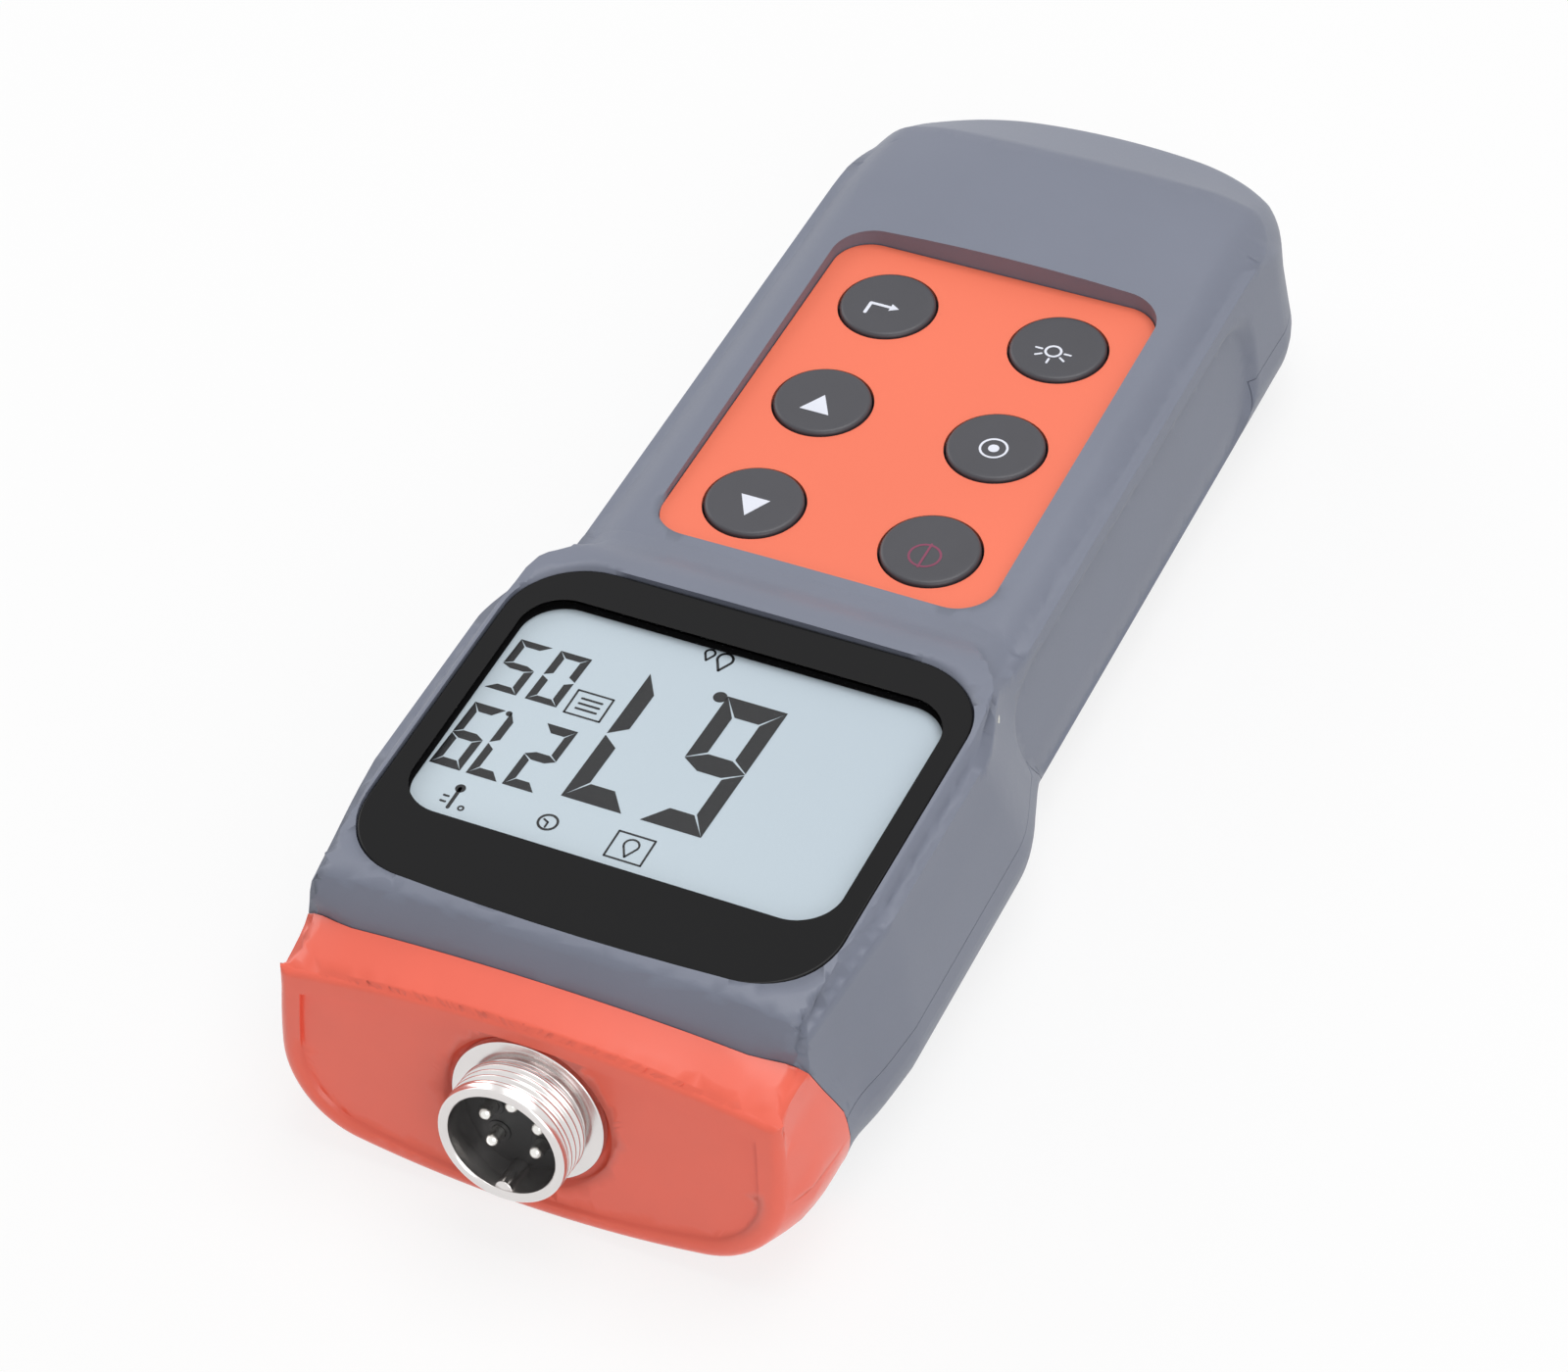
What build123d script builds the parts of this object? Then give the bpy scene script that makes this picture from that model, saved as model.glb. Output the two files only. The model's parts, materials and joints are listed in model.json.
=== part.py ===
"""Handheld dissolved oxygen meter: moulded two-shell body, keypad, display and probe socket.

Millimetres. +Z points out of the display, +Y towards the probe socket, +X to the reader's
right. The origin lies on the flat back, under the neck, on the plane of symmetry.
"""
import os
from math import cos, radians, sin, tan

from build123d import *

os.makedirs("parts", exist_ok=True)

# Body outline
handle_width = 62.2
head_width = 70.4
front_width = 66.0
crest_width = 66.4
handle_length = 107.2
neck_y = 15.2
neck_length = 9.0
neck_ease = 3.9
neck_steps = 8
head_length = 53.3
head_straight = 32.0
tail_corner_radius = 20.0
back_edge_radius = 12.0
shoulder_radius = 3.6
wall = 2.2
seam_gap = 0.12
seam_height = 14.5
grip_seam_height = 8.0

# Heights of the front of the body over the flat back
tail_top = 34.2
handle_top = 31.0
head_top = 34.3
front_top = 29.4
tail_crown = 3.1
head_crown = 0.35
front_crown = 1.6
ramp_foot_lead = 6.2
ramp_top_lag = 2.8
crest_setback = 2.5

# Sloping end behind the handle
ridge_setback = 18.0
ridge_half_width = 33.0
ridge_corner_radius = 16.0
end_slope = 25.0
end_radius = 5.0
end_margin = 0.1

# Side grips
grip_depth = 0.9
grip_top = 27.0
grip_bottom = 8.6
grip_flare = 1.2
grip_tail_setback = 30.0
grip_neck_setback = 1.0
grip_corner_radius = 8.0

# Nose cap and its tilted face
face_tilt = 8.5
face_lead = 7.8
face_height = 15.5
face_half_width = 31.2
face_rise = 12.8
face_fall = 15.0
face_top_bow = 3.4
face_bottom_bow = 4.2
face_top_radius = 9.0
face_bottom_radius = 11.0
face_edge_radius = 1.4
cap_wall = 2.6
face_wall = 3.6
face_recess = 0.5
face_lip = 2.4
spigot_wall = 1.6
fit_clearance = 0.15

# Keypad
keypad_height = 30.0
keypad_width = 44.4
keypad_length = 60.3
keypad_corner_radius = 5.0
keypad_neck_gap = 8.1
overlay_thickness = 0.8
seat_thickness = 2.0
key_radius = 6.2
key_column_spacing = 23.56
key_row_spacing = 20.1
key_row_offset = 1.0
key_proud = 0.5
key_edge_radius = 0.35
key_travel = 0.8
key_clearance = 0.3
key_flange_width = 1.0
key_flange_thickness = 1.2
plunger_radius = 2.6
mat_web = 1.2

# Display
lens_width = 60.0
lens_length = 52.8
lens_lead = 5.0
lens_thickness = 1.5
lens_height = 33.7
lens_corner_radius = 10.0
lens_bow = 1.5
lens_edge_radius = 0.3
window_width = 54.3
window_length = 37.2
window_radius = 5.5
window_setback = 5.9
glass_margin = 2.0
glass_edge = 3.4
glass_thickness = 2.8
backlight_thickness = 2.4
holder_wall = 1.4
strip_width = 2.0

# Circuit board
board_height = 21.0
board_thickness = 1.6
board_side_gap = 1.0
board_tail_gap = 3.0
chip_height = 1.6
header_width = 15.0
header_length = 5.0
header_height = 4.5
buzzer_radius = 5.0
buzzer_height = 3.2

# Probe socket, a 16 mm panel connector
socket_radius = 8.0
socket_bore_radius = 6.7
socket_reach = 6.0
socket_flange_radius = 9.6
socket_flange_thickness = 1.2
socket_flange_gap = 1.1
socket_rim_chamfer = 0.35
socket_neck_radius = 7.2
socket_neck_end = 0.7
key_rib_radius = 1.1
socket_rear_reach = 8.6
insulator_front = 1.2
insulator_rear = 9.8
pin_radius = 0.85
pin_reach = 3.6
pin_circle_radius = 3.6
pin_tail_length = 2.6
nut_flats = 19.0
nut_thickness = 3.0
washer_thickness = 0.8
lead_radius = 0.6

# Battery bay
cell_radius = 5.2
cell_length = 44.5
cell_button_radius = 1.9
cell_button_length = 1.0
cell_count = 4
cell_gap = 0.5
cell_height = 9.9
bay_wall = 1.5
bay_tail_setback = 13.5
spring_room = 3.4
plate_thickness = 0.5
door_thickness = 3.0
door_rail_thickness = 1.0
door_overlap = 1.2
door_rail = 1.4
door_end_gap = 5.2
door_neck_overlap = 3.0
door_bed = 1.3
door_groove_count = 5
door_groove_width = 1.2
door_groove_depth = 0.5
spring_radius = 3.6
battery_lead_reach = 4.0

# Fasteners
case_screw_radius = 1.25
case_screw_head_radius = 2.5
case_screw_head_height = 2.2
case_screw_seat = 6.6
case_screw_bite = 8.0
case_screw_spread = 22.0
case_boss_radius = 3.0
case_column_radius = 4.0
board_screw_radius = 1.0
board_screw_head_radius = 1.9
board_screw_head_height = 1.3
board_screw_bite = 4.5
board_hole_gap = 0.4
board_post_radius = 2.4
screw_clearance = 0.25
pilot_clearance = 0.03

# Places along the body
tail_y = neck_y - handle_length
head_y = neck_y + neck_length
seam_y = head_y + head_length
face_y = seam_y + face_lead
ramp_foot_y = neck_y - ramp_foot_lead
ramp_top_y = neck_y + ramp_top_lag
crest_y = seam_y - crest_setback
tall = 2 * head_top
keypad_y = neck_y - keypad_neck_gap - keypad_length / 2
lens_y = head_y - lens_lead
window_y = lens_y + window_setback + window_length / 2
grip_tail_y = tail_y + grip_tail_setback
grip_neck_y = neck_y - grip_neck_setback
bay_y = tail_y + bay_tail_setback
bay_length = cell_length + spring_room + plate_thickness
bay_end_y = bay_y + bay_length
cell_pitch = 2 * cell_radius + cell_gap
bay_half = cell_count * cell_pitch / 2
face_plane = Plane(
    origin=(0, face_y, face_height),
    x_dir=(-1, 0, 0),
    z_dir=(0, cos(radians(face_tilt)), sin(radians(face_tilt))),
)

# Heights inside the body
keypad_seat = keypad_height - overlay_thickness
key_flange_top = keypad_seat - seat_thickness - key_clearance
lens_seat = lens_height - lens_thickness
glass_top = lens_seat - seat_thickness - key_clearance
glass_bottom = glass_top - glass_thickness
board_bottom = board_height - board_thickness
bay_top = cell_height + cell_radius + cell_gap


def save(builder, name):
    """Label the finished piece and write it out under its own name."""
    builder.part.label = name
    export_step(builder.part, f"parts/{name}.step")


def across(y):
    """Upright plane across the body at y, with its local Y up."""
    return Plane(origin=(0, y, 0), x_dir=(-1, 0, 0), z_dir=(0, 1, 0))


def smooth_step(start, end, y):
    """Share from 0 to 1 that eases in and out between two places along the body."""
    share = min(max((y - start) / (end - start), 0), 1)
    return share * share * (3 - 2 * share)


def body_section(y, half_width, top, crown, inset):
    """Cross-section: flat back, round back corners, upright sides, soft shoulders, bowed top."""
    half = half_width - inset
    shoulder = top - crown * (half_width / (handle_width / 2)) ** 2 - inset
    with BuildSketch(across(y)) as outline:
        with BuildLine():
            ThreePointArc((-half, shoulder), (0, top - inset), (half, shoulder))
            Line((half, shoulder), (half, inset))
            Line((half, inset), (-half, inset))
            Line((-half, inset), (-half, shoulder))
        make_face()
        rows = outline.vertices().group_by(Axis.Y)
        fillet(rows[0], back_edge_radius - inset)
        fillet(rows[-1], shoulder_radius - inset / 2)
    return outline.sketch


def end_waste(inset):
    """What is cut away round the tail: its rounded plan, back edge and sloping end stay."""
    half = handle_width / 2 + end_margin - inset
    length = 2 * handle_length
    run = tall / tan(radians(end_slope))
    top = tail_top - inset
    with BuildPart() as form:
        with BuildSketch(Plane.XY.offset(inset - end_margin)):
            with Locations((0, tail_y + inset + length / 2)):
                RectangleRounded(2 * half, length, tail_corner_radius - inset)
        extrude(amount=tall)
        fillet(form.faces().sort_by(Axis.Z)[0].edges(), back_edge_radius - inset)
        slope = []
        for height, growth in ((top, 0), (top - tall, run)):
            with BuildSketch(Plane.XY.offset(height)) as level:
                with Locations((0, tail_y + ridge_setback + length / 2)):
                    RectangleRounded(
                        2 * (ridge_half_width - inset + growth),
                        length + 2 * growth,
                        ridge_corner_radius + growth,
                    )
            slope.append(level.sketch)
        loft(sections=slope, mode=Mode.INTERSECT)
        brow = [
            edge
            for edge in form.edges()
            if edge.center().Y < tail_y + ridge_setback and seam_height < edge.center().Z < top - 1
            and abs(edge.tangent_at(0.5).Z) < 0.9
        ]
        fillet(brow, end_radius)
    with BuildPart() as waste:
        with BuildSketch(Plane.XY.offset(-wall)):
            with Locations((0, tail_y)):
                Rectangle(2 * head_width, handle_length)
        extrude(amount=tall)
        add(form.part, mode=Mode.SUBTRACT)
    return waste.part


def body_blank(inset):
    """The body's outer form, or the same form drawn in by a wall for the hollow."""
    handle_half = handle_width / 2
    head_half = head_width / 2

    def neck_section(y):
        spread = smooth_step(neck_y - neck_ease, head_y + neck_ease, y)
        rise = smooth_step(ramp_foot_y, ramp_top_y, y)
        return body_section(
            y,
            handle_half + (head_half - handle_half) * spread,
            handle_top + (head_top - handle_top) * rise,
            head_crown,
            inset,
        )

    neck_end_y = head_y + neck_ease
    with BuildPart() as blank:
        loft(
            sections=[
                body_section(tail_y - wall, handle_half, tail_top, tail_crown, inset),
                neck_section(ramp_foot_y),
            ],
            ruled=True,
        )
        loft(
            sections=[
                neck_section(ramp_foot_y + (neck_end_y - ramp_foot_y) * step / neck_steps)
                for step in range(neck_steps + 1)
            ]
        )
        loft(
            sections=[
                neck_section(neck_end_y),
                body_section(head_y + head_straight, head_half, head_top, head_crown, inset),
                crest_section(inset),
                front_section(inset),
            ],
            ruled=True,
        )
        add(end_waste(inset), mode=Mode.SUBTRACT)
    return blank.part


def crest_section(inset):
    """Cross-section where the head's front surface starts to fall towards the cap."""
    return body_section(crest_y, crest_width / 2, head_top, head_crown, inset)


def front_section(inset, y=seam_y):
    """Cross-section at the joint between the shells and the nose cap."""
    return body_section(y, front_width / 2, front_top, front_crown, inset)


def block(x_size, y_start, y_end, bottom, top):
    """Plain block, symmetric about the body's middle plane."""
    with BuildPart() as solid:
        with BuildSketch(Plane.XY.offset(bottom)):
            with Locations((0, (y_start + y_end) / 2)):
                Rectangle(x_size, y_end - y_start)
        extrude(amount=top - bottom)
    return solid.part


def posts(places, radius, bottom, top, hole=0.0):
    """Upright posts or screws at plan places, bored through if a hole radius is given."""
    with BuildPart() as solid:
        with BuildSketch(Plane.XY.offset(bottom)):
            with Locations(*places):
                Circle(radius)
                if hole:
                    Circle(hole, mode=Mode.SUBTRACT)
        extrude(amount=top - bottom)
    return solid.part


def seam_region(above):
    """Block on one side of the joint between the shells, which dips under the grips."""
    edge = tall if above else -wall
    rise = 0 if above else seam_gap
    front_y = seam_y + face_lead
    with BuildPart() as region:
        with BuildSketch(Plane.YZ) as outline:
            with BuildLine():
                Polyline(
                    (tail_y - wall, edge),
                    (tail_y - wall, seam_height + rise),
                    (grip_tail_y + rise, seam_height + rise),
                    (grip_tail_y + rise, grip_seam_height + rise),
                    (grip_neck_y - rise, grip_seam_height + rise),
                    (grip_neck_y - rise, seam_height + rise),
                    (front_y, seam_height + rise),
                    (front_y, edge),
                    close=True,
                )
            make_face()
            dip = grip_seam_height + rise
            corners = [v for v in outline.vertices() if abs(v.Y - dip) < wall]
            fillet(corners, (seam_height - grip_seam_height) * 0.9)
        extrude(amount=head_width, both=True)
    return region.part


def keypad_outline(height, growth=0.0):
    """Plan outline of the keypad at a height, grown by a margin on every side."""
    with BuildSketch(Plane.XY.offset(height)) as outline:
        with Locations((0, keypad_y)):
            RectangleRounded(
                keypad_width + 2 * growth,
                keypad_length + 2 * growth,
                keypad_corner_radius + growth,
            )
    return outline.sketch


def lens_outline(height, growth=0.0):
    """Plan outline of the display lens, bowed towards the socket, grown by a margin."""
    half = lens_width / 2
    end = lens_y + lens_length
    with BuildSketch(Plane.XY.offset(height)) as outline:
        with BuildLine():
            Polyline((-half, end), (-half, lens_y), (half, lens_y), (half, end))
            ThreePointArc((half, end), (0, end + lens_bow), (-half, end))
        make_face()
        fillet(outline.vertices(), lens_corner_radius)
        if growth:
            offset(amount=growth)
    return outline.sketch


def window_outline(height, width, length, radius):
    """Rounded rectangle on the middle of the display window."""
    with BuildSketch(Plane.XY.offset(height)) as outline:
        with Locations((0, window_y)):
            RectangleRounded(width, length, radius)
    return outline.sketch


def grip_waste():
    """Shallow pockets with sloping edges, one let into each side of the handle."""
    floor_x = handle_width / 2 - grip_depth
    reach = head_width / 2
    flare = grip_flare * (reach - floor_x) / grip_depth
    middle = ((grip_tail_y + grip_neck_y) / 2, (grip_top + grip_bottom) / 2)
    with BuildPart() as waste:
        levels = []
        for x, growth in ((floor_x, 0), (reach, flare)):
            with BuildSketch(Plane.YZ.offset(x)) as level:
                with Locations(middle):
                    RectangleRounded(
                        grip_neck_y - grip_tail_y + 2 * growth,
                        grip_top - grip_bottom + 2 * growth,
                        grip_corner_radius + growth,
                    )
            levels.append(level.sketch)
        loft(sections=levels)
        mirror(about=Plane.YZ)
    return waste.part


# Screw and key places in plan
head_screw_y = crest_y - case_column_radius
neck_screw_y = neck_y + wall / 2
tail_screw_y = bay_y - bay_wall - case_boss_radius - cell_gap
case_screw_places = [
    (side * x, y)
    for x, y in (
        (case_screw_spread, head_screw_y),
        (case_screw_spread, neck_screw_y),
        (case_screw_spread / 2, tail_screw_y),
    )
    for side in (-1, 1)
]
board_screw_x = (keypad_width / 2 + handle_width / 2 - wall) / 2
board_screw_places = [
    (side * board_screw_x, keypad_y + end * keypad_length / 2)
    for side in (-1, 1)
    for end in (-0.8, 1)
]
key_places = {
    f"{name}_key": (
        column * key_column_spacing / 2,
        keypad_y + key_row_offset + row * key_row_spacing,
    )
    for name, column, row in (
        ("enter", 1, -1),
        ("light", -1, -1),
        ("down", 1, 0),
        ("calibrate", -1, 0),
        ("up", 1, 1),
        ("power", -1, 1),
    )
}

outer = body_blank(0)
inner = body_blank(wall)

# Front shell: crowned moulding with the keypad and lens let into it
with BuildPart() as front_hollow:
    add(inner)
    extrude(
        keypad_outline(keypad_seat - seat_thickness, wall), amount=tall, mode=Mode.SUBTRACT
    )
    extrude(lens_outline(lens_seat - seat_thickness, wall / 2), amount=tall, mode=Mode.SUBTRACT)
    add(
        posts(
            case_screw_places,
            case_boss_radius,
            0,
            tall,
            case_screw_radius + pilot_clearance,
        ),
        mode=Mode.SUBTRACT,
    )
    add(
        posts(
            board_screw_places,
            board_post_radius,
            board_height,
            tall,
            board_screw_radius + pilot_clearance,
        ),
        mode=Mode.SUBTRACT,
    )
with BuildPart() as front_shell:
    add(outer)
    add(front_hollow.part, mode=Mode.SUBTRACT)
    add(seam_region(above=False), mode=Mode.SUBTRACT)
    extrude(keypad_outline(keypad_seat, fit_clearance), amount=tall, mode=Mode.SUBTRACT)
    extrude(lens_outline(lens_seat, fit_clearance), amount=tall, mode=Mode.SUBTRACT)
    extrude(
        window_outline(
            board_height,
            window_width + glass_margin,
            window_length + glass_margin,
            window_radius,
        ),
        amount=tall,
        mode=Mode.SUBTRACT,
    )
    add(
        posts(key_places.values(), key_radius + key_clearance, board_height, tall),
        mode=Mode.SUBTRACT,
    )
    add(grip_waste(), mode=Mode.SUBTRACT)
save(front_shell, "front_shell")

# Rear shell: flat back, screw columns, battery bay and the bed of its sliding door
door_half = bay_half + door_overlap
door_tail_y = tail_y + door_end_gap
door_neck_y = bay_end_y + door_neck_overlap
rail_bottom = door_thickness - door_rail_thickness


def door_slab(start_y, growth=0.0):
    """Sliding door as a plain slab with a rail along each side, grown by a clearance."""
    end_y = door_neck_y + growth
    with BuildPart() as slab:
        add(block(2 * (door_half + growth), start_y, end_y, -wall, door_thickness + growth))
        add(
            block(
                2 * (door_half + door_rail + growth),
                start_y,
                end_y,
                rail_bottom - growth,
                door_thickness + growth,
            )
        )
    return slab.part


with BuildPart() as rear_hollow:
    add(inner)
    add(posts(case_screw_places, case_column_radius, 0, tall), mode=Mode.SUBTRACT)
    bed_half = door_half + door_rail + wall / 2
    add(
        block(2 * bed_half, tail_y, door_neck_y + wall, 0, door_thickness + door_bed),
        mode=Mode.SUBTRACT,
    )
with BuildPart() as rear_shell:
    add(outer)
    add(rear_hollow.part, mode=Mode.SUBTRACT)
    add(seam_region(above=True), mode=Mode.SUBTRACT)
    bay_outside = 2 * (bay_half + bay_wall)
    add(block(bay_outside, bay_y - bay_wall, bay_end_y + bay_wall, wall, bay_top + bay_wall))
    add(block(2 * bay_half, bay_y, bay_end_y, -wall, bay_top), mode=Mode.SUBTRACT)
    add(door_slab(tail_y - wall, fit_clearance), mode=Mode.SUBTRACT)
    add(
        posts(case_screw_places, case_screw_head_radius + screw_clearance, -wall, case_screw_seat),
        mode=Mode.SUBTRACT,
    )
    add(
        posts(case_screw_places, case_screw_radius + screw_clearance, -wall, seam_height),
        mode=Mode.SUBTRACT,
    )
    add(grip_waste(), mode=Mode.SUBTRACT)
save(rear_shell, "rear_shell")

# Battery door, which slides off over the tail and follows its rounded edge
with BuildPart() as battery_door:
    add(outer)
    with BuildPart(mode=Mode.PRIVATE) as around:
        add(block(2 * head_width, tail_y - wall, seam_y + wall, -wall, tall))
        add(door_slab(door_tail_y), mode=Mode.SUBTRACT)
    add(around.part, mode=Mode.SUBTRACT)
    grooves = [
        (0, door_tail_y + door_end_gap * (2 + step / 3)) for step in range(door_groove_count)
    ]
    with BuildSketch(Plane.XY):
        with Locations(*grooves):
            SlotOverall(bay_half, door_groove_width)
    extrude(amount=door_groove_depth, mode=Mode.SUBTRACT)
save(battery_door, "battery_door")


def face_section(plane, inset=0.0):
    """Oval outline of the nose on a tilted plane: bowed top and bottom, round corners."""
    half = face_half_width - inset
    top = face_rise - inset
    bottom = inset - face_fall
    with BuildSketch(plane) as outline:
        with BuildLine():
            ThreePointArc((-half, top - face_top_bow), (0, top), (half, top - face_top_bow))
            Line((half, top - face_top_bow), (half, bottom + face_bottom_bow))
            ThreePointArc(
                (half, bottom + face_bottom_bow), (0, bottom), (-half, bottom + face_bottom_bow)
            )
            Line((-half, bottom + face_bottom_bow), (-half, top - face_top_bow))
        make_face()
        rows = outline.vertices().sort_by(Axis.Y)
        fillet(rows[:2], face_bottom_radius - inset)
        fillet(rows[2:], face_top_radius - inset)
    return outline.sketch


# Nose cap: tapered cup with a tilted face, and a spigot caught between the shells
with BuildPart() as nose_cap:
    loft(sections=[front_section(0, seam_y + seam_gap), face_section(face_plane)])
    rim = nose_cap.faces().sort_by(Axis.Y)[-1].edges()
    fillet(rim, face_edge_radius)
    extrude(face_section(face_plane, face_lip), amount=-face_recess, mode=Mode.SUBTRACT)
    loft(
        sections=[
            front_section(cap_wall, seam_y),
            face_section(face_plane.offset(-face_wall), cap_wall),
        ],
        mode=Mode.SUBTRACT,
    )
    spigot_root = spigot_wall
    with BuildPart(mode=Mode.PRIVATE) as spigot:
        for inset, mode in (
            (wall + fit_clearance, Mode.ADD),
            (wall + fit_clearance + spigot_wall, Mode.SUBTRACT),
        ):
            loft(
                sections=[
                    crest_section(inset),
                    front_section(inset),
                    front_section(inset, seam_y + spigot_root),
                ],
                ruled=True,
                mode=mode,
            )
    add(spigot.part)
    with BuildSketch(face_plane.offset(-face_recess)):
        Circle(socket_flange_radius + socket_flange_gap)
    extrude(amount=-socket_flange_thickness, mode=Mode.SUBTRACT)
    with BuildSketch(face_plane):
        Circle(socket_radius + fit_clearance)
    extrude(amount=-2 * face_wall, mode=Mode.SUBTRACT)
save(nose_cap, "nose_cap")

# Display lens
with BuildPart() as display_lens:
    extrude(lens_outline(lens_seat), amount=lens_thickness)
    fillet(display_lens.faces().sort_by(Axis.Z)[-1].edges(), lens_edge_radius)
save(display_lens, "display_lens")

# Liquid crystal panel under the window
glass_width = window_width + 2 * glass_margin
glass_length = window_length + 2 * glass_edge
with BuildPart() as lcd_glass:
    extrude(
        window_outline(glass_bottom, glass_width, glass_length, glass_thickness / 4),
        amount=glass_thickness,
    )
save(lcd_glass, "lcd_glass")

# Light panel behind the glass, between the two rubber contact strips
strip_y = glass_length / 2 - strip_width / 2
backlight_length = 2 * strip_y - strip_width - 2 * key_clearance
with BuildPart() as backlight_panel:
    extrude(
        window_outline(
            glass_bottom - key_clearance - backlight_thickness,
            glass_width,
            backlight_length,
            glass_thickness / 4,
        ),
        amount=backlight_thickness,
    )
save(backlight_panel, "backlight_panel")

with BuildPart() as zebra_strips:
    with BuildSketch(Plane.XY.offset(board_height)):
        with Locations((0, window_y - strip_y), (0, window_y + strip_y)):
            Rectangle(glass_width - 2 * glass_margin, strip_width)
    extrude(amount=glass_bottom - board_height)
save(zebra_strips, "zebra_strips")

# Frame that stands on the board and holds glass and light panel in line
holder_gap = 2 * fit_clearance
with BuildPart() as lcd_holder:
    extrude(
        window_outline(
            board_height,
            glass_width + holder_gap + 2 * holder_wall,
            glass_length + holder_gap + 2 * holder_wall,
            holder_wall,
        ),
        amount=glass_top - board_height,
    )
    extrude(
        window_outline(
            board_height, glass_width + holder_gap, glass_length + holder_gap, holder_wall / 2
        ),
        amount=glass_thickness * 4,
        mode=Mode.SUBTRACT,
    )
    with BuildSketch(Plane.XY.offset(board_height)):
        with Locations((0, window_y)):
            with GridLocations(glass_width, 0, 2, 1):
                Rectangle(2 * holder_wall, backlight_length)
    extrude(amount=glass_bottom - key_clearance - backlight_thickness - board_height)
save(lcd_holder, "lcd_holder")

# Keypad overlay and the keys that stand through it
with BuildPart() as keypad_overlay:
    extrude(keypad_outline(keypad_seat), amount=overlay_thickness)
    add(
        posts(key_places.values(), key_radius + key_clearance, keypad_seat, tall),
        mode=Mode.SUBTRACT,
    )
save(keypad_overlay, "keypad_overlay")

key_bottom = key_flange_top - key_flange_thickness
plunger_bottom = board_height + key_clearance + key_travel
for key_name, (key_x, key_y) in key_places.items():
    with BuildPart() as key:
        with BuildSketch(Plane.XY.offset(key_bottom)):
            with Locations((key_x, key_y)):
                Circle(key_radius + key_flange_width)
        extrude(amount=key_flange_thickness)
        with BuildSketch(Plane.XY.offset(key_bottom)):
            with Locations((key_x, key_y)):
                Circle(key_radius)
        extrude(amount=keypad_height + key_proud - key_bottom)
        fillet(key.faces().sort_by(Axis.Z)[-1].edges(), key_edge_radius)
        with BuildSketch(Plane.XY.offset(plunger_bottom)):
            with Locations((key_x, key_y)):
                Circle(plunger_radius)
        extrude(amount=key_bottom - plunger_bottom)
    save(key, key_name)

# Rubber mat on the board: a web with a ring round each plunger
mat_ring_top = key_bottom - key_travel - key_clearance
with BuildPart() as rubber_key_mat:
    extrude(keypad_outline(board_height, -fit_clearance), amount=mat_web)
    add(posts(key_places.values(), key_radius, board_height, mat_ring_top))
    add(
        posts(key_places.values(), plunger_radius + key_clearance, board_height, tall),
        mode=Mode.SUBTRACT,
    )
    add(
        posts(board_screw_places, board_post_radius + key_clearance, board_height, tall),
        mode=Mode.SUBTRACT,
    )
save(rubber_key_mat, "rubber_key_mat")

# Circuit board and what is soldered to it
board_tail_y = keypad_y - keypad_length / 2 - board_tail_gap
board_head_y = head_screw_y - case_boss_radius - board_side_gap
board_half_handle = handle_width / 2 - wall - board_side_gap
board_half_head = head_width / 2 - wall - 2 * board_side_gap
with BuildPart() as main_board:
    with BuildSketch(Plane.XY.offset(board_bottom)) as board_plan:
        with BuildLine():
            board_side = Polyline(
                (0, board_tail_y),
                (board_half_handle, board_tail_y),
                (board_half_handle, neck_y),
                (board_half_head, head_y + neck_ease),
                (board_half_head, board_head_y),
                (0, board_head_y),
            )
            mirror(board_side, about=Plane.YZ)
        make_face()
    extrude(amount=board_thickness)
    add(
        posts(case_screw_places, case_boss_radius + board_hole_gap, board_bottom, tall),
        mode=Mode.SUBTRACT,
    )
    add(
        posts(board_screw_places, board_screw_radius + fit_clearance, board_bottom, tall),
        mode=Mode.SUBTRACT,
    )
save(main_board, "main_board")

chip_places = ((0, window_y, 14, 14), (-18, window_y - 8, 8, 6), (17, window_y + 9, 6, 9))
with BuildPart() as board_chips:
    for chip_x, chip_y, chip_width, chip_length in chip_places:
        with BuildSketch(Plane.XY.offset(board_bottom - chip_height)):
            with Locations((chip_x, chip_y)):
                Rectangle(chip_width, chip_length)
        extrude(amount=chip_height)
save(board_chips, "board_chips")

header_y = board_head_y - header_length / 2
with BuildPart() as lead_header:
    with BuildSketch(Plane.XY.offset(board_bottom - header_height)):
        with Locations((0, header_y)):
            Rectangle(header_width, header_length)
    extrude(amount=header_height)
save(lead_header, "lead_header")

buzzer_place = (-buzzer_radius * 2, neck_y)
with BuildPart() as buzzer:
    add(posts([buzzer_place], buzzer_radius, board_bottom - buzzer_height, board_bottom))
    with BuildSketch(Plane.XY.offset(board_bottom - buzzer_height)):
        with Locations(buzzer_place):
            Circle(buzzer_radius / 5)
    extrude(amount=buzzer_height / 3, mode=Mode.SUBTRACT)
save(buzzer, "buzzer")

# Screws
with BuildPart() as board_screws:
    add(posts(board_screw_places, board_screw_radius, board_bottom, board_height + board_screw_bite))
    add(
        posts(
            board_screw_places,
            board_screw_head_radius,
            board_bottom - board_screw_head_height,
            board_bottom,
        )
    )
save(board_screws, "board_screws")

with BuildPart() as case_screws:
    add(posts(case_screw_places, case_screw_radius, case_screw_seat, seam_height + case_screw_bite))
    add(
        posts(
            case_screw_places,
            case_screw_head_radius,
            case_screw_seat - case_screw_head_height,
            case_screw_seat,
        )
    )
save(case_screws, "case_screws")

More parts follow.
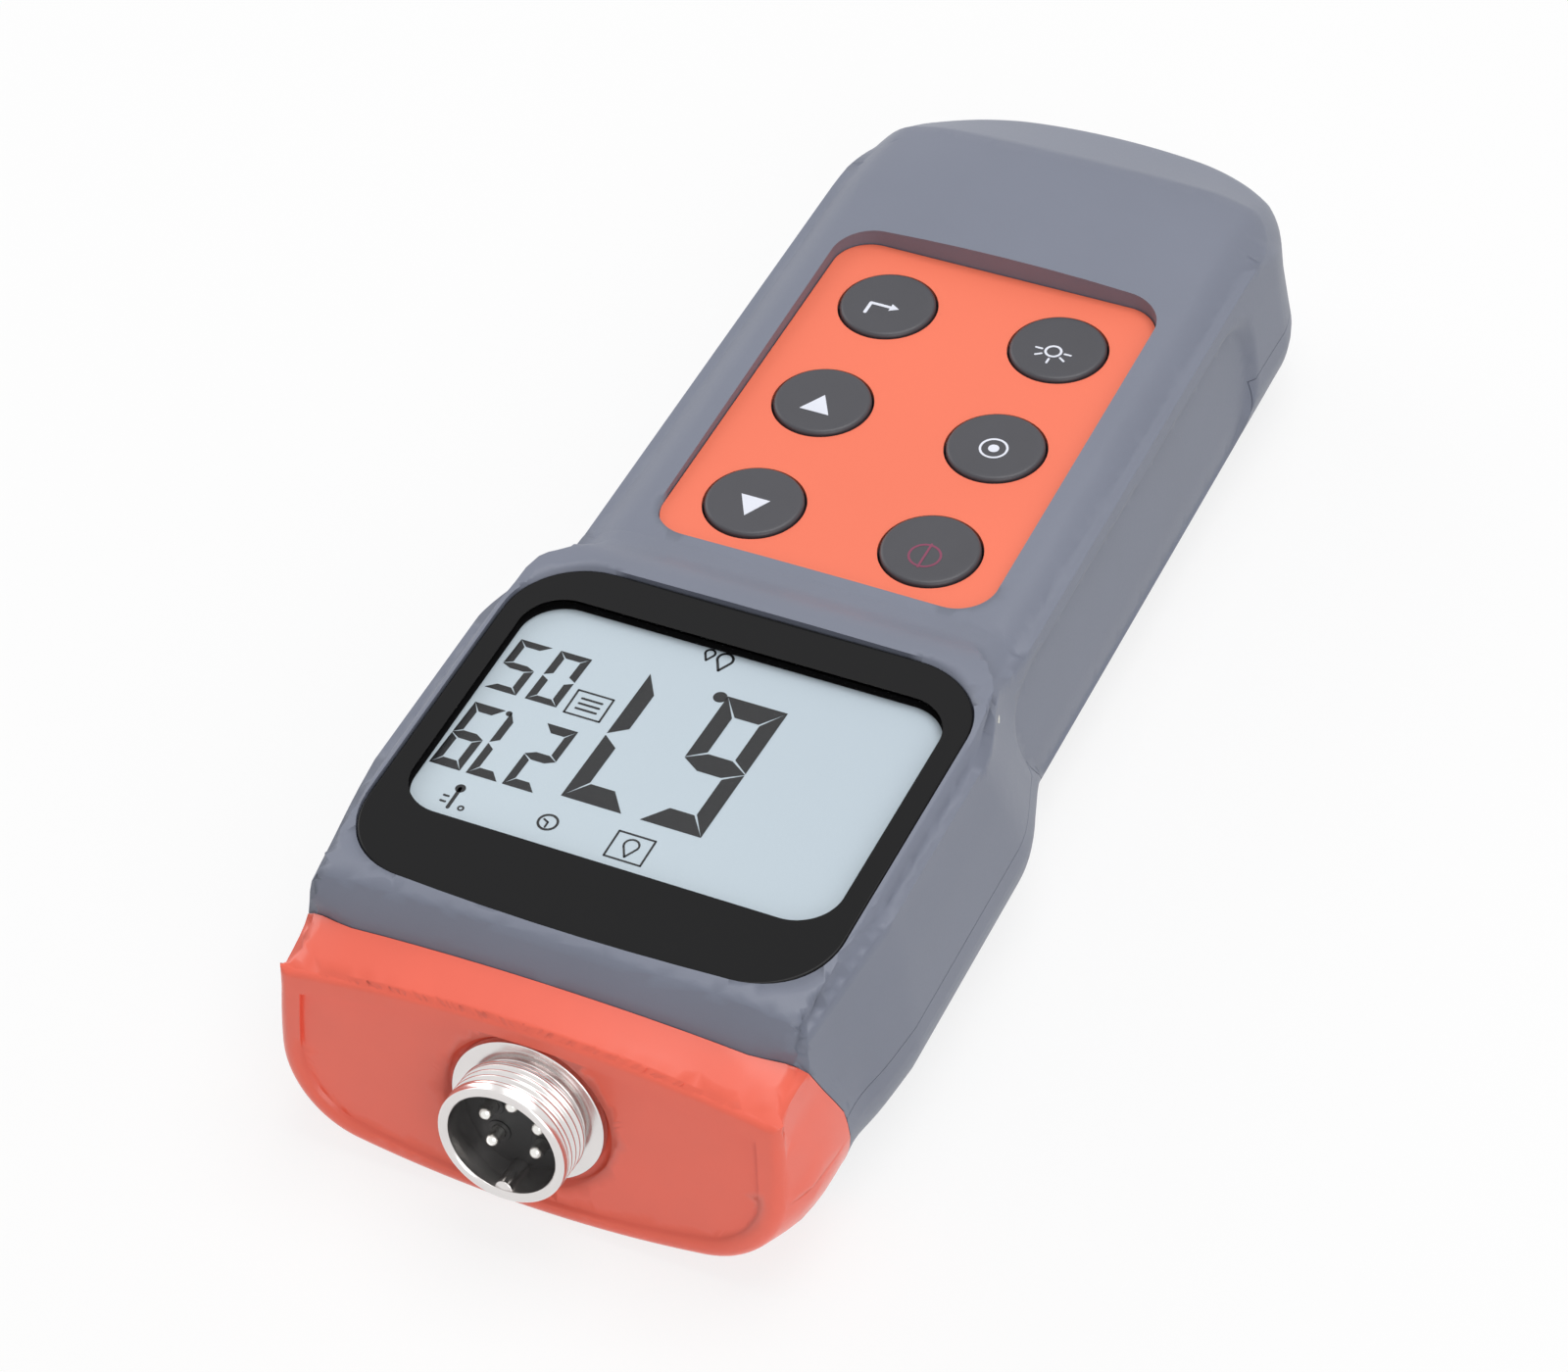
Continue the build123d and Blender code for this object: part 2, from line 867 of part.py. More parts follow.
# Probe socket on the tilted face
flange_back = -face_recess - socket_flange_thickness
with BuildPart() as socket_shell:
    with BuildSketch(face_plane.offset(flange_back)):
        Circle(socket_flange_radius)
    extrude(amount=socket_flange_thickness)
    with BuildSketch(face_plane.offset(-socket_rear_reach)):
        Circle(socket_radius)
    extrude(amount=socket_rear_reach + socket_reach)
    front_edge = socket_shell.faces().sort_by(Axis.Y)[-1].edges()
    chamfer(front_edge, socket_rim_chamfer)
    with BuildSketch(face_plane.offset(-face_recess)):
        Circle(socket_flange_radius)
        Circle(socket_neck_radius, mode=Mode.SUBTRACT)
    extrude(amount=face_recess + socket_neck_end, mode=Mode.SUBTRACT)
    with BuildSketch(face_plane.offset(-socket_rear_reach)):
        Circle(socket_bore_radius)
    extrude(amount=socket_rear_reach + socket_reach, mode=Mode.SUBTRACT)
    with BuildSketch(face_plane.offset(insulator_front)):
        with Locations((0, -socket_bore_radius)):
            Circle(key_rib_radius)
        Circle(socket_bore_radius + fit_clearance, mode=Mode.INTERSECT)
    extrude(amount=socket_reach - insulator_front - socket_rim_chamfer)
save(socket_shell, "socket_shell")

pin_places = [
    (-pin_circle_radius * cos(radians(angle)), pin_circle_radius * sin(radians(angle)))
    for angle in (90, 20, 155, -43, 217)
]
with BuildPart() as socket_insulator:
    with BuildSketch(face_plane.offset(insulator_front)):
        Circle(socket_bore_radius)
        with Locations(*pin_places):
            Circle(pin_radius, mode=Mode.SUBTRACT)
    extrude(amount=-insulator_front - insulator_rear)
save(socket_insulator, "socket_insulator")

with BuildPart() as socket_pins:
    with BuildSketch(face_plane.offset(-insulator_rear - pin_tail_length)):
        with Locations(*pin_places):
            Circle(pin_radius)
    extrude(amount=insulator_rear + pin_tail_length + pin_reach)
    tips = socket_pins.faces().sort_by(Axis.Y)[-len(pin_places):]
    fillet(tips.edges(), pin_radius * 0.9)
save(socket_pins, "socket_pins")

with BuildPart() as socket_washer:
    with BuildSketch(face_plane.offset(-face_wall)):
        Circle(socket_flange_radius)
        Circle(socket_radius + fit_clearance, mode=Mode.SUBTRACT)
    extrude(amount=-washer_thickness)
save(socket_washer, "socket_washer")

with BuildPart() as socket_nut:
    with BuildSketch(face_plane.offset(-face_wall - washer_thickness)):
        RegularPolygon(nut_flats / 2, 6, major_radius=False)
        Circle(socket_radius, mode=Mode.SUBTRACT)
    extrude(amount=-nut_thickness)
save(socket_nut, "socket_nut")

# Leads from the socket's pins to the header on the board
lead_spread = header_width / (len(pin_places) + 1)
lead_start = -insulator_rear - pin_tail_length
with BuildPart() as socket_leads:
    for index, pin_place in enumerate(sorted(pin_places, reverse=True)):
        start = face_plane.offset(lead_start).from_local_coords((*pin_place, 0))
        header_x = (index - 2) * lead_spread
        with BuildLine():
            lead_path = Spline(
                start,
                (header_x, header_y + header_length / 2, board_bottom - header_height / 2),
                tangents=[-face_plane.z_dir, (0, -1, 0)],
            )
        with BuildSketch(lead_path ^ 0):
            Circle(lead_radius)
        sweep(path=lead_path)
save(socket_leads, "socket_leads")

# Cells, which lie head to tail side by side
cell_rows = [
    (-bay_half + cell_pitch * (index + 0.5), index % 2) for index in range(cell_count)
]
with BuildPart() as battery_cells:
    for cell_x, turned in cell_rows:
        flat_y = bay_end_y - spring_room if turned else bay_y + spring_room
        forward = -1 if turned else 1
        plane = Plane(origin=(cell_x, flat_y, cell_height), z_dir=(0, forward, 0))
        with BuildSketch(plane):
            Circle(cell_radius)
        extrude(amount=cell_length - cell_button_length)
        with BuildSketch(plane):
            Circle(cell_button_radius)
        extrude(amount=cell_length)
save(battery_cells, "battery_cells")

with BuildPart() as battery_plates:
    for plate_y, forward in ((bay_y, 1), (bay_end_y, -1)):
        for cell_x, turned in cell_rows:
            with BuildSketch(Plane(origin=(cell_x, plate_y, cell_height), z_dir=(0, forward, 0))):
                RectangleRounded(2 * cell_radius - cell_gap, 2 * cell_radius - cell_gap, cell_gap)
            extrude(amount=plate_thickness)
save(battery_plates, "battery_plates")

# Conical springs, each drawn as a ribbed cone
with BuildPart() as battery_springs:
    for cell_x, turned in cell_rows:
        start_y = bay_end_y - plate_thickness if turned else bay_y + plate_thickness
        forward = -1 if turned else 1
        room = spring_room - plate_thickness
        with BuildSketch(Plane.XY.offset(cell_height)):
            with BuildLine():
                Polyline(
                    (cell_x, start_y),
                    (cell_x + spring_radius, start_y),
                    (cell_x + spring_radius, start_y + forward * room / 4),
                    (cell_x + spring_radius * 0.7, start_y + forward * room / 2),
                    (cell_x + spring_radius * 0.8, start_y + forward * room * 0.75),
                    (cell_x + spring_radius * 0.5, start_y + forward * room),
                    (cell_x, start_y + forward * room),
                    close=True,
                )
            make_face()
        revolve(axis=Axis((cell_x, start_y, cell_height), (0, 1, 0)))
save(battery_springs, "battery_springs")

# Leads from the bay to the board
with BuildPart() as battery_leads:
    for side in (-1, 1):
        lead_x = side * bay_half / 2
        exit_z = bay_top - lead_radius * 2
        with BuildLine():
            lead_path = FilletPolyline(
                (lead_x, bay_end_y + bay_wall, exit_z),
                (lead_x, bay_end_y + bay_wall + battery_lead_reach, exit_z),
                (lead_x, bay_end_y + bay_wall + battery_lead_reach, board_bottom),
                radius=battery_lead_reach / 3,
            )
        with BuildSketch(lead_path ^ 0):
            Circle(lead_radius)
        sweep(path=lead_path)
save(battery_leads, "battery_leads")
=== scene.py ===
# %% [markdown]
# # A handheld dissolved oxygen meter
#
# The meter is a satin grey moulding in two shells with a glossy orange nose cap. A dark display
# lens and an orange keypad with six round keys lie in its front, and a nickel plated socket for
# the probe stands on the tilted nose.
#
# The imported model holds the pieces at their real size. This lesson dresses them: most solids keep
# their shape and get a finish. The outer pieces of the housing are formed a little softer, and the
# small parts that carry the eye are made again as finer surfaces: the thread, the pins, the keys,
# the screws and the marks.

import json
from math import cos, pi, radians, sin

import bmesh
import bpy
import numpy as np
from mathutils import Matrix, Quaternion, Vector


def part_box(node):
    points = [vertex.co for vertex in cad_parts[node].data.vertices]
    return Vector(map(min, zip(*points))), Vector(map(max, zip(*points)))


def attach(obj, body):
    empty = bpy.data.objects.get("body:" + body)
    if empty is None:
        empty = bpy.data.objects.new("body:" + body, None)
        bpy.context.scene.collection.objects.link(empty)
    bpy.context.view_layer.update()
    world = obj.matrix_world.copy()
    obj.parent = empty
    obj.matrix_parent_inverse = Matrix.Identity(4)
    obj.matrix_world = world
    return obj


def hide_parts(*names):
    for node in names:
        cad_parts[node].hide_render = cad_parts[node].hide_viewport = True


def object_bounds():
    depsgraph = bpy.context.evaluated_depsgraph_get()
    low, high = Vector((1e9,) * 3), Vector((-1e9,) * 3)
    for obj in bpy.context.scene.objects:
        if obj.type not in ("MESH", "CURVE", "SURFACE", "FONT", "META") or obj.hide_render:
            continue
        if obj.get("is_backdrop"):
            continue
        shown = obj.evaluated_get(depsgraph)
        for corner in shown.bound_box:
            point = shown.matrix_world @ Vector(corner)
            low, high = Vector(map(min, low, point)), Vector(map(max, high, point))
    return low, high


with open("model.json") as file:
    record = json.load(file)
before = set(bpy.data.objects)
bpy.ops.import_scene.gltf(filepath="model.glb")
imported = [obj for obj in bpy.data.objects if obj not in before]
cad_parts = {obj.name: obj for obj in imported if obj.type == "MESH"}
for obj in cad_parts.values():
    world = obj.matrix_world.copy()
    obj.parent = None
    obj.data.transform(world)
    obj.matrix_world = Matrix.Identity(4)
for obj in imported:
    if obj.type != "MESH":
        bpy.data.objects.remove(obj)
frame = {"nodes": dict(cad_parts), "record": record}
cad_low, cad_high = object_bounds()
MM = 0.001


# %% [markdown]
# ## Surfaces from arrays
#
# Every new piece is a grid of points: rows along one parameter, columns along the other. Whole
# arrays are worked out at once with numpy and handed to Blender in one go, which is quick and
# keeps the formula in sight. A grid closes on itself along its columns, as a lathe-turned part does
# round its axis, and along its rows too where the part is a ring. The winding is checked by the
# enclosed volume, so faces always point outwards.

# %% Turn a grid of points into a mesh
same_place = 1e-7
no_length = 1e-8


def add_object(name, data):
    """A new object in the scene, made of a mesh, a lamp or a camera."""
    made = bpy.data.objects.new(name, data)
    bpy.context.scene.collection.objects.link(made)
    return made


def add_mesh(name, points, faces, material, smooth=True):
    """A mesh object from an array of points and lists of corner numbers."""
    mesh = bpy.data.meshes.new(name)
    mesh.materials.append(material)
    mesh.from_pydata(points.tolist(), [], faces)
    mesh.polygons.foreach_set("use_smooth", [smooth] * len(mesh.polygons))
    mesh.validate()
    return add_object(name, mesh)


def vertex_array(mesh):
    """The points of a mesh as an array with one row for each."""
    points = np.empty(len(mesh.vertices) * 3)
    mesh.vertices.foreach_get("co", points)
    return points.reshape(-1, 3)


def close_seams(piece):
    """Merges points that share a place, such as a pole's row, and drops faces without area."""
    work = bmesh.new()
    work.from_mesh(piece.data)
    bmesh.ops.remove_doubles(work, verts=work.verts, dist=same_place)
    bmesh.ops.dissolve_degenerate(work, edges=work.edges, dist=no_length)
    work.to_mesh(piece.data)
    work.free()


def grid_faces(rows, columns, round_rows):
    """Four-cornered faces between neighbouring points of a grid, as one array."""
    i = np.arange(rows if round_rows else rows - 1)[:, None]
    j = np.arange(columns)[None, :]
    next_i, next_j = (i + 1) % rows, (j + 1) % columns
    corners = [i * columns + j, next_i * columns + j, next_i * columns + next_j, i * columns + next_j]
    return np.stack([corner + 0 * (i + j) for corner in corners], -1).reshape(-1, 4)


def enclosed_volume(points, quads):
    """Six times the signed volume: the sum of triple products of each face's two triangles."""
    a, b, c, d = (points[quads[:, k]] for k in range(4))
    return float((np.cross(a, b) * c).sum() + (np.cross(a, c) * d).sum())


def surface(name, grids, material, round_rows=False):
    """One mesh from closed grids of points, each shaped (rows, columns, 3)."""
    all_points, all_quads, start = [], [], 0
    for grid in grids:
        rows, columns, _ = grid.shape
        points = grid.reshape(-1, 3)
        quads = grid_faces(rows, columns, round_rows)
        if enclosed_volume(points, quads) < 0:
            quads = quads[:, ::-1]
        all_points.append(points)
        all_quads.append(quads + start)
        start += len(points)
    piece = add_mesh(name, np.concatenate(all_points), np.concatenate(all_quads).tolist(), material)
    close_seams(piece)
    print(f"{name}: {len(piece.data.polygons)} faces")
    return piece


# %% [markdown]
# ## Turned parts
#
# Screws, pins, keys and the socket are turned on a lathe or moulded round, so each is a profile
# carried round an axis. A profile is a list of stations: how far along the axis, and how far out.
# Sharp corners stay crisp because each corner gets a small bevel in the profile itself.

# %% Carry a profile round an axis
def axis_frame(origin, direction):
    """Origin, two crosswise directions and the axis itself, as arrays."""
    along = np.array(direction, float)
    along = along / np.linalg.norm(along)
    across = np.cross(along, [0, 0, 1]) if abs(along[2]) < 0.9 else np.array([1.0, 0, 0])
    across = across / np.linalg.norm(across)
    return np.array(origin, float), across, np.cross(along, across), along


def soften(stations, bevel):
    """Replaces each inner corner by two points a bevel's width away, and one between and near it."""
    line = np.array(stations, float)
    corner = line[1:-1]
    before, after = line[:-2] - corner, line[2:] - corner
    before_length, after_length = (np.linalg.norm(way, axis=1)[:, None] for way in (before, after))
    reach = np.minimum(np.minimum(before_length, after_length) / 3, bevel)
    first = corner + before / before_length * reach
    second = corner + after / after_length * reach
    middle = (first + second) / 4 + corner / 2
    inner = np.stack([first, middle, second], 1).reshape(-1, 2)
    return np.concatenate([line[:1], inner, line[-1:]])


def spun_grid(stations, origin, direction, columns):
    """Point = origin + along * axis + radius * (cos(angle) * across + sin(angle) * up)."""
    centre, across, up, along = axis_frame(origin, direction)
    line = np.array(stations, float)
    angle = np.linspace(0, 2 * pi, columns, endpoint=False)
    spoke = np.cos(angle)[:, None] * across + np.sin(angle)[:, None] * up
    return centre + line[:, :1, None] * along + line[:, 1:, None] * spoke[None]


# %% [markdown]
# ## Finishes as expressions
#
# A finish is a small sum of patterns, so it reads best as arithmetic. The class below wraps one
# output of a node and overloads the operators: an expression such as `1 - mask * 0.2` adds the
# Math nodes for itself. Every other node comes from one method, which takes the node's type, its
# settings and the values or links of its sockets.

# %% Sockets that can be added and multiplied
class Value:
    """One output of a shader node that can stand in an arithmetic expression."""

    def __init__(self, finish, link):
        self.finish = finish
        self.link = link

    def math(self, operation, *terms):
        """A Math node on the given terms, in order."""
        inputs = dict(enumerate(terms))
        return self.finish.node("ShaderNodeMath", {"operation": operation}, inputs)

    def __add__(self, other):
        return self.math("ADD", self, other)

    def __sub__(self, other):
        return self.math("SUBTRACT", self, other)

    def __rsub__(self, other):
        return self.math("SUBTRACT", other, self)

    def __mul__(self, other):
        return self.math("MULTIPLY", self, other)

    def __truediv__(self, other):
        return self.math("DIVIDE", self, other)

    def __pow__(self, other):
        return self.math("POWER", self, other)

    def above(self, edge, width):
        """0 below the edge, 1 above it, with a ramp as wide as the given width between."""
        return ((self - edge) / width + 0.5).clamped()

    def at_least(self, floor):
        return self.math("MAXIMUM", self, floor)

    def fraction(self):
        return self.math("FRACT", self)

    def clamped(self):
        return self.math("MINIMUM", self.at_least(0.0), 1.0)

    def size(self):
        return self.math("ABSOLUTE", self)

    __radd__ = __add__
    __rmul__ = __mul__


class Finish:
    """A material that is built up from nodes."""

    def __init__(self, name):
        self.material = bpy.data.materials.new(name)
        self.material.use_nodes = True
        self.tree = self.material.node_tree
        self.shader = self.tree.nodes["Principled BSDF"]
        self.place = self.node("ShaderNodeTexCoord", output="Object")

    def node(self, kind, settings=None, inputs=None, output=0):
        """Adds a node, sets it, feeds its sockets, and returns one of its outputs."""
        made = self.tree.nodes.new(kind)
        for key, value in (settings or {}).items():
            setattr(made, key, value)
        for key, value in (inputs or {}).items():
            self.feed(made.inputs[key], value)
        return Value(self, made.outputs[output])

    def feed(self, socket, value):
        if isinstance(value, Value):
            self.tree.links.new(value.link, socket)
        else:
            socket.default_value = value

    def set(self, **sockets):
        """Feeds the shader's own sockets, named with underscores for spaces."""
        for key, value in sockets.items():
            self.feed(self.shader.inputs[key.replace("_", " ")], value)

    def noise(self, cell, detail=2.0, roughness=0.5, place=None):
        """Noise from 0 to 1 whose features are about one cell wide, in metres."""
        inputs = {"Vector": place or self.place, "Scale": 1 / cell}
        inputs.update(Detail=detail, Roughness=roughness)
        return self.node("ShaderNodeTexNoise", inputs=inputs, output="Fac")

    def axes(self):
        """The place as three numbers."""
        split = self.node("ShaderNodeSeparateXYZ", inputs={0: self.place})
        return [Value(self, split.link.node.outputs[k]) for k in range(3)]

    def blend(self, share, first, second):
        """A colour between two colours."""
        inputs = {0: share, 6: first, 7: second}
        return self.node("ShaderNodeMix", {"data_type": "RGBA"}, inputs, output=2)

    def bump(self, height, depth):
        """Turns a height from 0 to 1 into a relief of that depth in metres."""
        inputs = {"Height": height, "Distance": depth, "Strength": 1.0}
        self.set(Normal=self.node("ShaderNodeBump", inputs=inputs, output="Normal"))


def paint(red, green, blue):
    """A colour read off a screen, from 0 to 255, as the linear light that a shader takes."""
    screen = np.array([red, green, blue]) / 255
    linear = np.where(screen <= 0.04045, screen / 12.92, ((screen + 0.055) / 1.055) ** 2.4)
    return (*linear.tolist(), 1.0)


def tone(colour, factor):
    """The same colour, lighter or darker."""
    return (*[min(part * factor, 1.0) for part in colour[:3]], 1.0)


# %% [markdown]
# ## The grey shell plastic
#
# The two shells and the battery door are injection moulded in a tool with a fine spark texture,
# which gives a satin surface with a soft, wide highlight. An image of real plastic would do, but
# noise at two scales is enough: a faint cloud in the colour, as regrind gives, and a fine grain
# that breaks up the gloss.

# %% Satin shell plastic
finish = Finish("satin_grey_plastic")
grey = paint(116, 121, 136)
cloud = finish.noise(14 * MM, detail=3)
grain = finish.noise(0.28 * MM, detail=2, roughness=0.6)
finish.set(
    Base_Color=finish.blend(cloud, tone(grey, 0.94), tone(grey, 1.06)),
    Roughness=0.4 + grain * 0.1 + cloud * 0.04,
    Specular_IOR_Level=0.5,
)
finish.bump(grain, 0.012 * MM)
shell_plastic = finish.material
print("finish:", shell_plastic.name)


# %% [markdown]
# ## The orange nose cap
#
# The cap comes from a polished tool, so it is glossy, with a very slight unevenness where the
# plastic shrank. A clear coat over a rougher base gives the deep highlight.

# %% Glossy orange plastic
finish = Finish("gloss_orange_plastic")
orange = paint(240, 100, 76)
flow = finish.noise(9 * MM, detail=2)
finish.set(
    Base_Color=finish.blend(flow, tone(orange, 0.95), tone(orange, 1.05)),
    Roughness=0.34 + flow * 0.08,
    Coat_Weight=0.35,
    Coat_Roughness=0.12,
)
finish.bump(flow, 0.05 * MM)
cap_plastic = finish.material
print("finish:", cap_plastic.name)


# %% [markdown]
# ## The keypad film
#
# The keypad's overlay is a printed film with a fine velvet texture. Its colour is even, and its
# grain is finer than the shell's.

# %% Velvet orange film
finish = Finish("velvet_orange_film")
orange = paint(240, 118, 88)
grain = finish.noise(0.16 * MM, detail=1)
cloud = finish.noise(22 * MM, detail=1)
finish.set(
    Base_Color=finish.blend(cloud, tone(orange, 0.97), tone(orange, 1.03)),
    Roughness=0.5 + grain * 0.1,
)
finish.bump(grain, 0.006 * MM)
overlay_film = finish.material
print("finish:", overlay_film.name)


# %% [markdown]
# ## Dark key plastic, rubbers and inner plastics
#
# The keys are dark satin caps. Several inner pieces need only a plain moulded surface in their
# own colour, so one function makes them all from a colour, a roughness and a grain size.

# %% Plain moulded finishes
grains_per_cloud = 30


def make_moulded(name, colour, roughness, grain_size, depth):
    finish = Finish(name)
    grain = finish.noise(grain_size, detail=2)
    cloud = finish.noise(grain_size * grains_per_cloud, detail=2)
    finish.set(
        Base_Color=finish.blend(cloud, tone(colour, 0.9), tone(colour, 1.1)),
        Roughness=roughness - 0.05 + grain * 0.1,
    )
    finish.bump(grain, depth)
    return finish.material


key_plastic = make_moulded("satin_charcoal_plastic", paint(60, 60, 66), 0.42, 0.2 * MM, 0.006 * MM)
socket_plastic = make_moulded("black_insulator", paint(20, 20, 21), 0.5, 0.3 * MM, 0.01 * MM)
header_plastic = make_moulded("black_connector_plastic", paint(32, 32, 34), 0.45, 0.3 * MM, 0.01 * MM)
holder_plastic = make_moulded("natural_plastic", paint(222, 220, 210), 0.5, 0.3 * MM, 0.01 * MM)
mat_rubber = make_moulded("grey_silicone_rubber", paint(96, 97, 100), 0.6, 0.25 * MM, 0.02 * MM)
chip_plastic = make_moulded("moulded_chip_body", paint(38, 38, 40), 0.6, 0.12 * MM, 0.01 * MM)
print("plain finishes: 6")


# %% [markdown]
# ## Plated metal
#
# The socket is turned brass with bright nickel. Nickel is a little warmer and darker than chrome,
# and the lathe leaves fine rings round the axis. A wave of rings would repeat too evenly, so the
# noise is stretched: its place is squeezed across the axis, which draws it out into rings.

# %% Nickel, silvered and zinc plated metal
squeeze = 0.08
socket_tilt = radians(-8.5)


def make_metal(name, colour, roughness, ring_size, axis_turn=(0.0, 0.0, 0.0)):
    finish = Finish(name)
    turned_place = finish.node(
        "ShaderNodeMapping",
        {"vector_type": "POINT"},
        {"Vector": finish.place, "Rotation": axis_turn, "Scale": (squeeze, 1.0, squeeze)},
    )
    rings = finish.noise(ring_size, detail=2, place=turned_place)
    haze = finish.noise(4 * MM, detail=3)
    finish.set(
        Base_Color=finish.blend(haze, tone(colour, 0.93), tone(colour, 1.04)),
        Metallic=1.0,
        Roughness=roughness + rings * 0.1 + haze * 0.05,
    )
    finish.bump(rings, 0.004 * MM)
    return finish.material


nickel = make_metal("bright_nickel", (0.74, 0.71, 0.70), 0.14, 0.2 * MM, (socket_tilt, 0, 0))
pin_metal = make_metal("silvered_pins", (0.86, 0.85, 0.82), 0.16, 0.2 * MM)
steel = make_metal("zinc_plated_steel", (0.62, 0.63, 0.62), 0.3, 0.3 * MM)
print("metals: 3")


# %% [markdown]
# ## The display lens
#
# The lens is one sheet of clear plastic, printed black on its back except for the window. Two
# sheets could be modelled, but a rounded rectangle in the Alpha socket does the same with one:
# opaque and near black outside the window, almost clear inside it. The distance to a rounded
# rectangle is the length of what the place sticks out beyond the inner straight part.

# %% Printed lens with a clear window
lens_low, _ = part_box("display_lens")
glass_low, glass_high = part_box("lcd_glass")
window_middle_y = (glass_low.y + glass_high.y) / 2
window_half_x = 27.15 * MM
window_half_y = 18.6 * MM
window_corner = 5.5 * MM
window_haze = 0.015


def outside_window(finish):
    """Metres from the window's edge: negative inside the window, positive outside it."""
    x, y, _ = finish.axes()
    past_x = (x.size() - (window_half_x - window_corner)).at_least(0.0)
    past_y = ((y - window_middle_y).size() - (window_half_y - window_corner)).at_least(0.0)
    return (past_x * past_x + past_y * past_y) ** 0.5 - window_corner


def make_lens():
    finish = Finish("printed_lens")
    printed = outside_window(finish).above(0.0, 0.05 * MM)
    haze = finish.noise(6 * MM, detail=2)
    finish.set(
        Base_Color=paint(27, 27, 28),
        Roughness=0.08 + haze * 0.06,
        Alpha=window_haze + printed * (1 - window_haze),
        Specular_IOR_Level=0.12,
    )
    return finish.material


lens_print = make_lens()
print("window:", 2 * window_half_x / MM, "x", 2 * window_half_y / MM, "mm")


# %% [markdown]
# ## The liquid crystal panel
#
# The panel's reflector is pale blue-grey, with a silky grain from its diffusing film. Painted light
# makes its colour a touch lighter towards one corner.

# %% Reflective panel
painted_light_length = 90 * MM
finish = Finish("liquid_crystal_panel")
x, y, _ = finish.axes()
# Painted light: the colour is lighter along the diagonal towards one corner, as a painted sheen.
painted_light_sweep = ((x + (y - window_middle_y)) / painted_light_length + 0.5).clamped()
grain = finish.noise(0.12 * MM, detail=1)
pale_with_painted_light = finish.blend(painted_light_sweep, paint(194, 207, 217), paint(206, 219, 227))
finish.set(
    Base_Color=finish.blend(grain * 0.5, pale_with_painted_light, paint(188, 202, 212)),
    Roughness=0.3 + grain * 0.1,
    Specular_IOR_Level=0.2,
)
panel_finish = finish.material


# %% [markdown]
# ## The circuit board
#
# Only a pose with the battery door open or a cut lets the board be seen, but it is finished all
# the same: green lacquer with lighter tracks. Tracks run along and across, so two stretched wave
# patterns, each switched on in patches, draw them.

# %% Board, wires, cells and light panel
track_pitch = 1.27 * MM
track_start, track_edge = 0.7, 0.06
sleeve_band_start = 10 * MM
cell_end_length = 1.6 * MM
print_edge = 0.1 * MM
finish = Finish("green_board")
x, y, _ = finish.axes()
patches = finish.noise(9 * MM, detail=0).above(0.5, 0.02)
along = (x / track_pitch).fraction().above(track_start, track_edge)
across = (y / track_pitch).fraction().above(track_start, track_edge)
tracks = along * patches + across * (1 - patches)
finish.set(
    Base_Color=finish.blend(tracks, paint(20, 74, 40), paint(52, 112, 62)),
    Roughness=0.35 + patches * 0.05,
    Coat_Weight=0.4,
)
finish.bump(tracks, 0.03 * MM)
board_lacquer = finish.material


def make_cell_sleeve():
    """A dark sleeve with a light band towards one end and bare metal at both ends."""
    finish = Finish("cell_sleeve")
    _, y, _ = finish.axes()
    low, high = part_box("battery_cells")
    middle = (low.y + high.y) / 2
    band = (y - middle).above(sleeve_band_start, print_edge)
    ends = (y - middle).size().above((high.y - low.y) / 2 - cell_end_length, print_edge)
    scuff = finish.noise(3 * MM, detail=4)
    body = finish.blend(band, paint(38, 58, 104), paint(196, 186, 150))
    finish.set(
        Base_Color=finish.blend(ends, body, (0.7, 0.69, 0.66, 1.0)),
        Metallic=ends,
        Roughness=0.25 + scuff * 0.2,
        Coat_Weight=0.3,
    )
    return finish.material


cell_sleeve = make_cell_sleeve()
milk_plastic = make_moulded("milky_light_panel", paint(232, 236, 232), 0.3, 0.2 * MM, 0.004 * MM)
wire_sleeve = make_moulded("red_wire_sleeve", paint(170, 34, 30), 0.4, 0.2 * MM, 0.006 * MM)


# %% [markdown]
# ## Dress the solids that keep their shape
#
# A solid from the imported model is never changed, only given a material. The finishes are listed
# with the nodes that wear them; the keys, which are not listed, wear the dark key plastic.

# %% Assign the finishes
dressed = [
    (shell_plastic, "front_shell rear_shell battery_door"),
    (cap_plastic, "nose_cap"),
    (overlay_film, "keypad_overlay"),
    (lens_print, "display_lens"),
    (panel_finish, "lcd_glass"),
    (milk_plastic, "backlight_panel"),
    (mat_rubber, "zebra_strips rubber_key_mat"),
    (holder_plastic, "lcd_holder"),
    (board_lacquer, "main_board"),
    (chip_plastic, "board_chips buzzer"),
    (header_plastic, "lead_header"),
    (socket_plastic, "socket_insulator"),
    (steel, "socket_washer board_screws case_screws"),
    (nickel, "socket_nut battery_plates battery_springs socket_shell"),
    (wire_sleeve, "socket_leads battery_leads"),
    (cell_sleeve, "battery_cells"),
    (pin_metal, "socket_pins"),
]
dressing = {name: material for material, names in dressed for name in names.split()}
for name, node in frame["nodes"].items():
    node.data.materials.clear()
    node.data.materials.append(dressing.get(name, key_plastic))
print("dressed:", len(frame["nodes"]))


# %% [markdown]
# ## The soft outer form of the housing
#
# The housing's walls lean inwards a few degrees, its nose corners are well rounded, and the joint
# with the cap runs back down the sides. Modelling the shells again from nothing would lose their
# ribs, recesses and screw bosses, so the outer pieces are formed instead: a merged copy of each
# solid gets more points on its large faces, and one smooth function moves them all. The same
# function forms the shells, the cap and the door, so their joints stay closed.

# %% The forming function
side_lean = radians(6.0)
handle_half = 31.1
cap_joint = 77.5


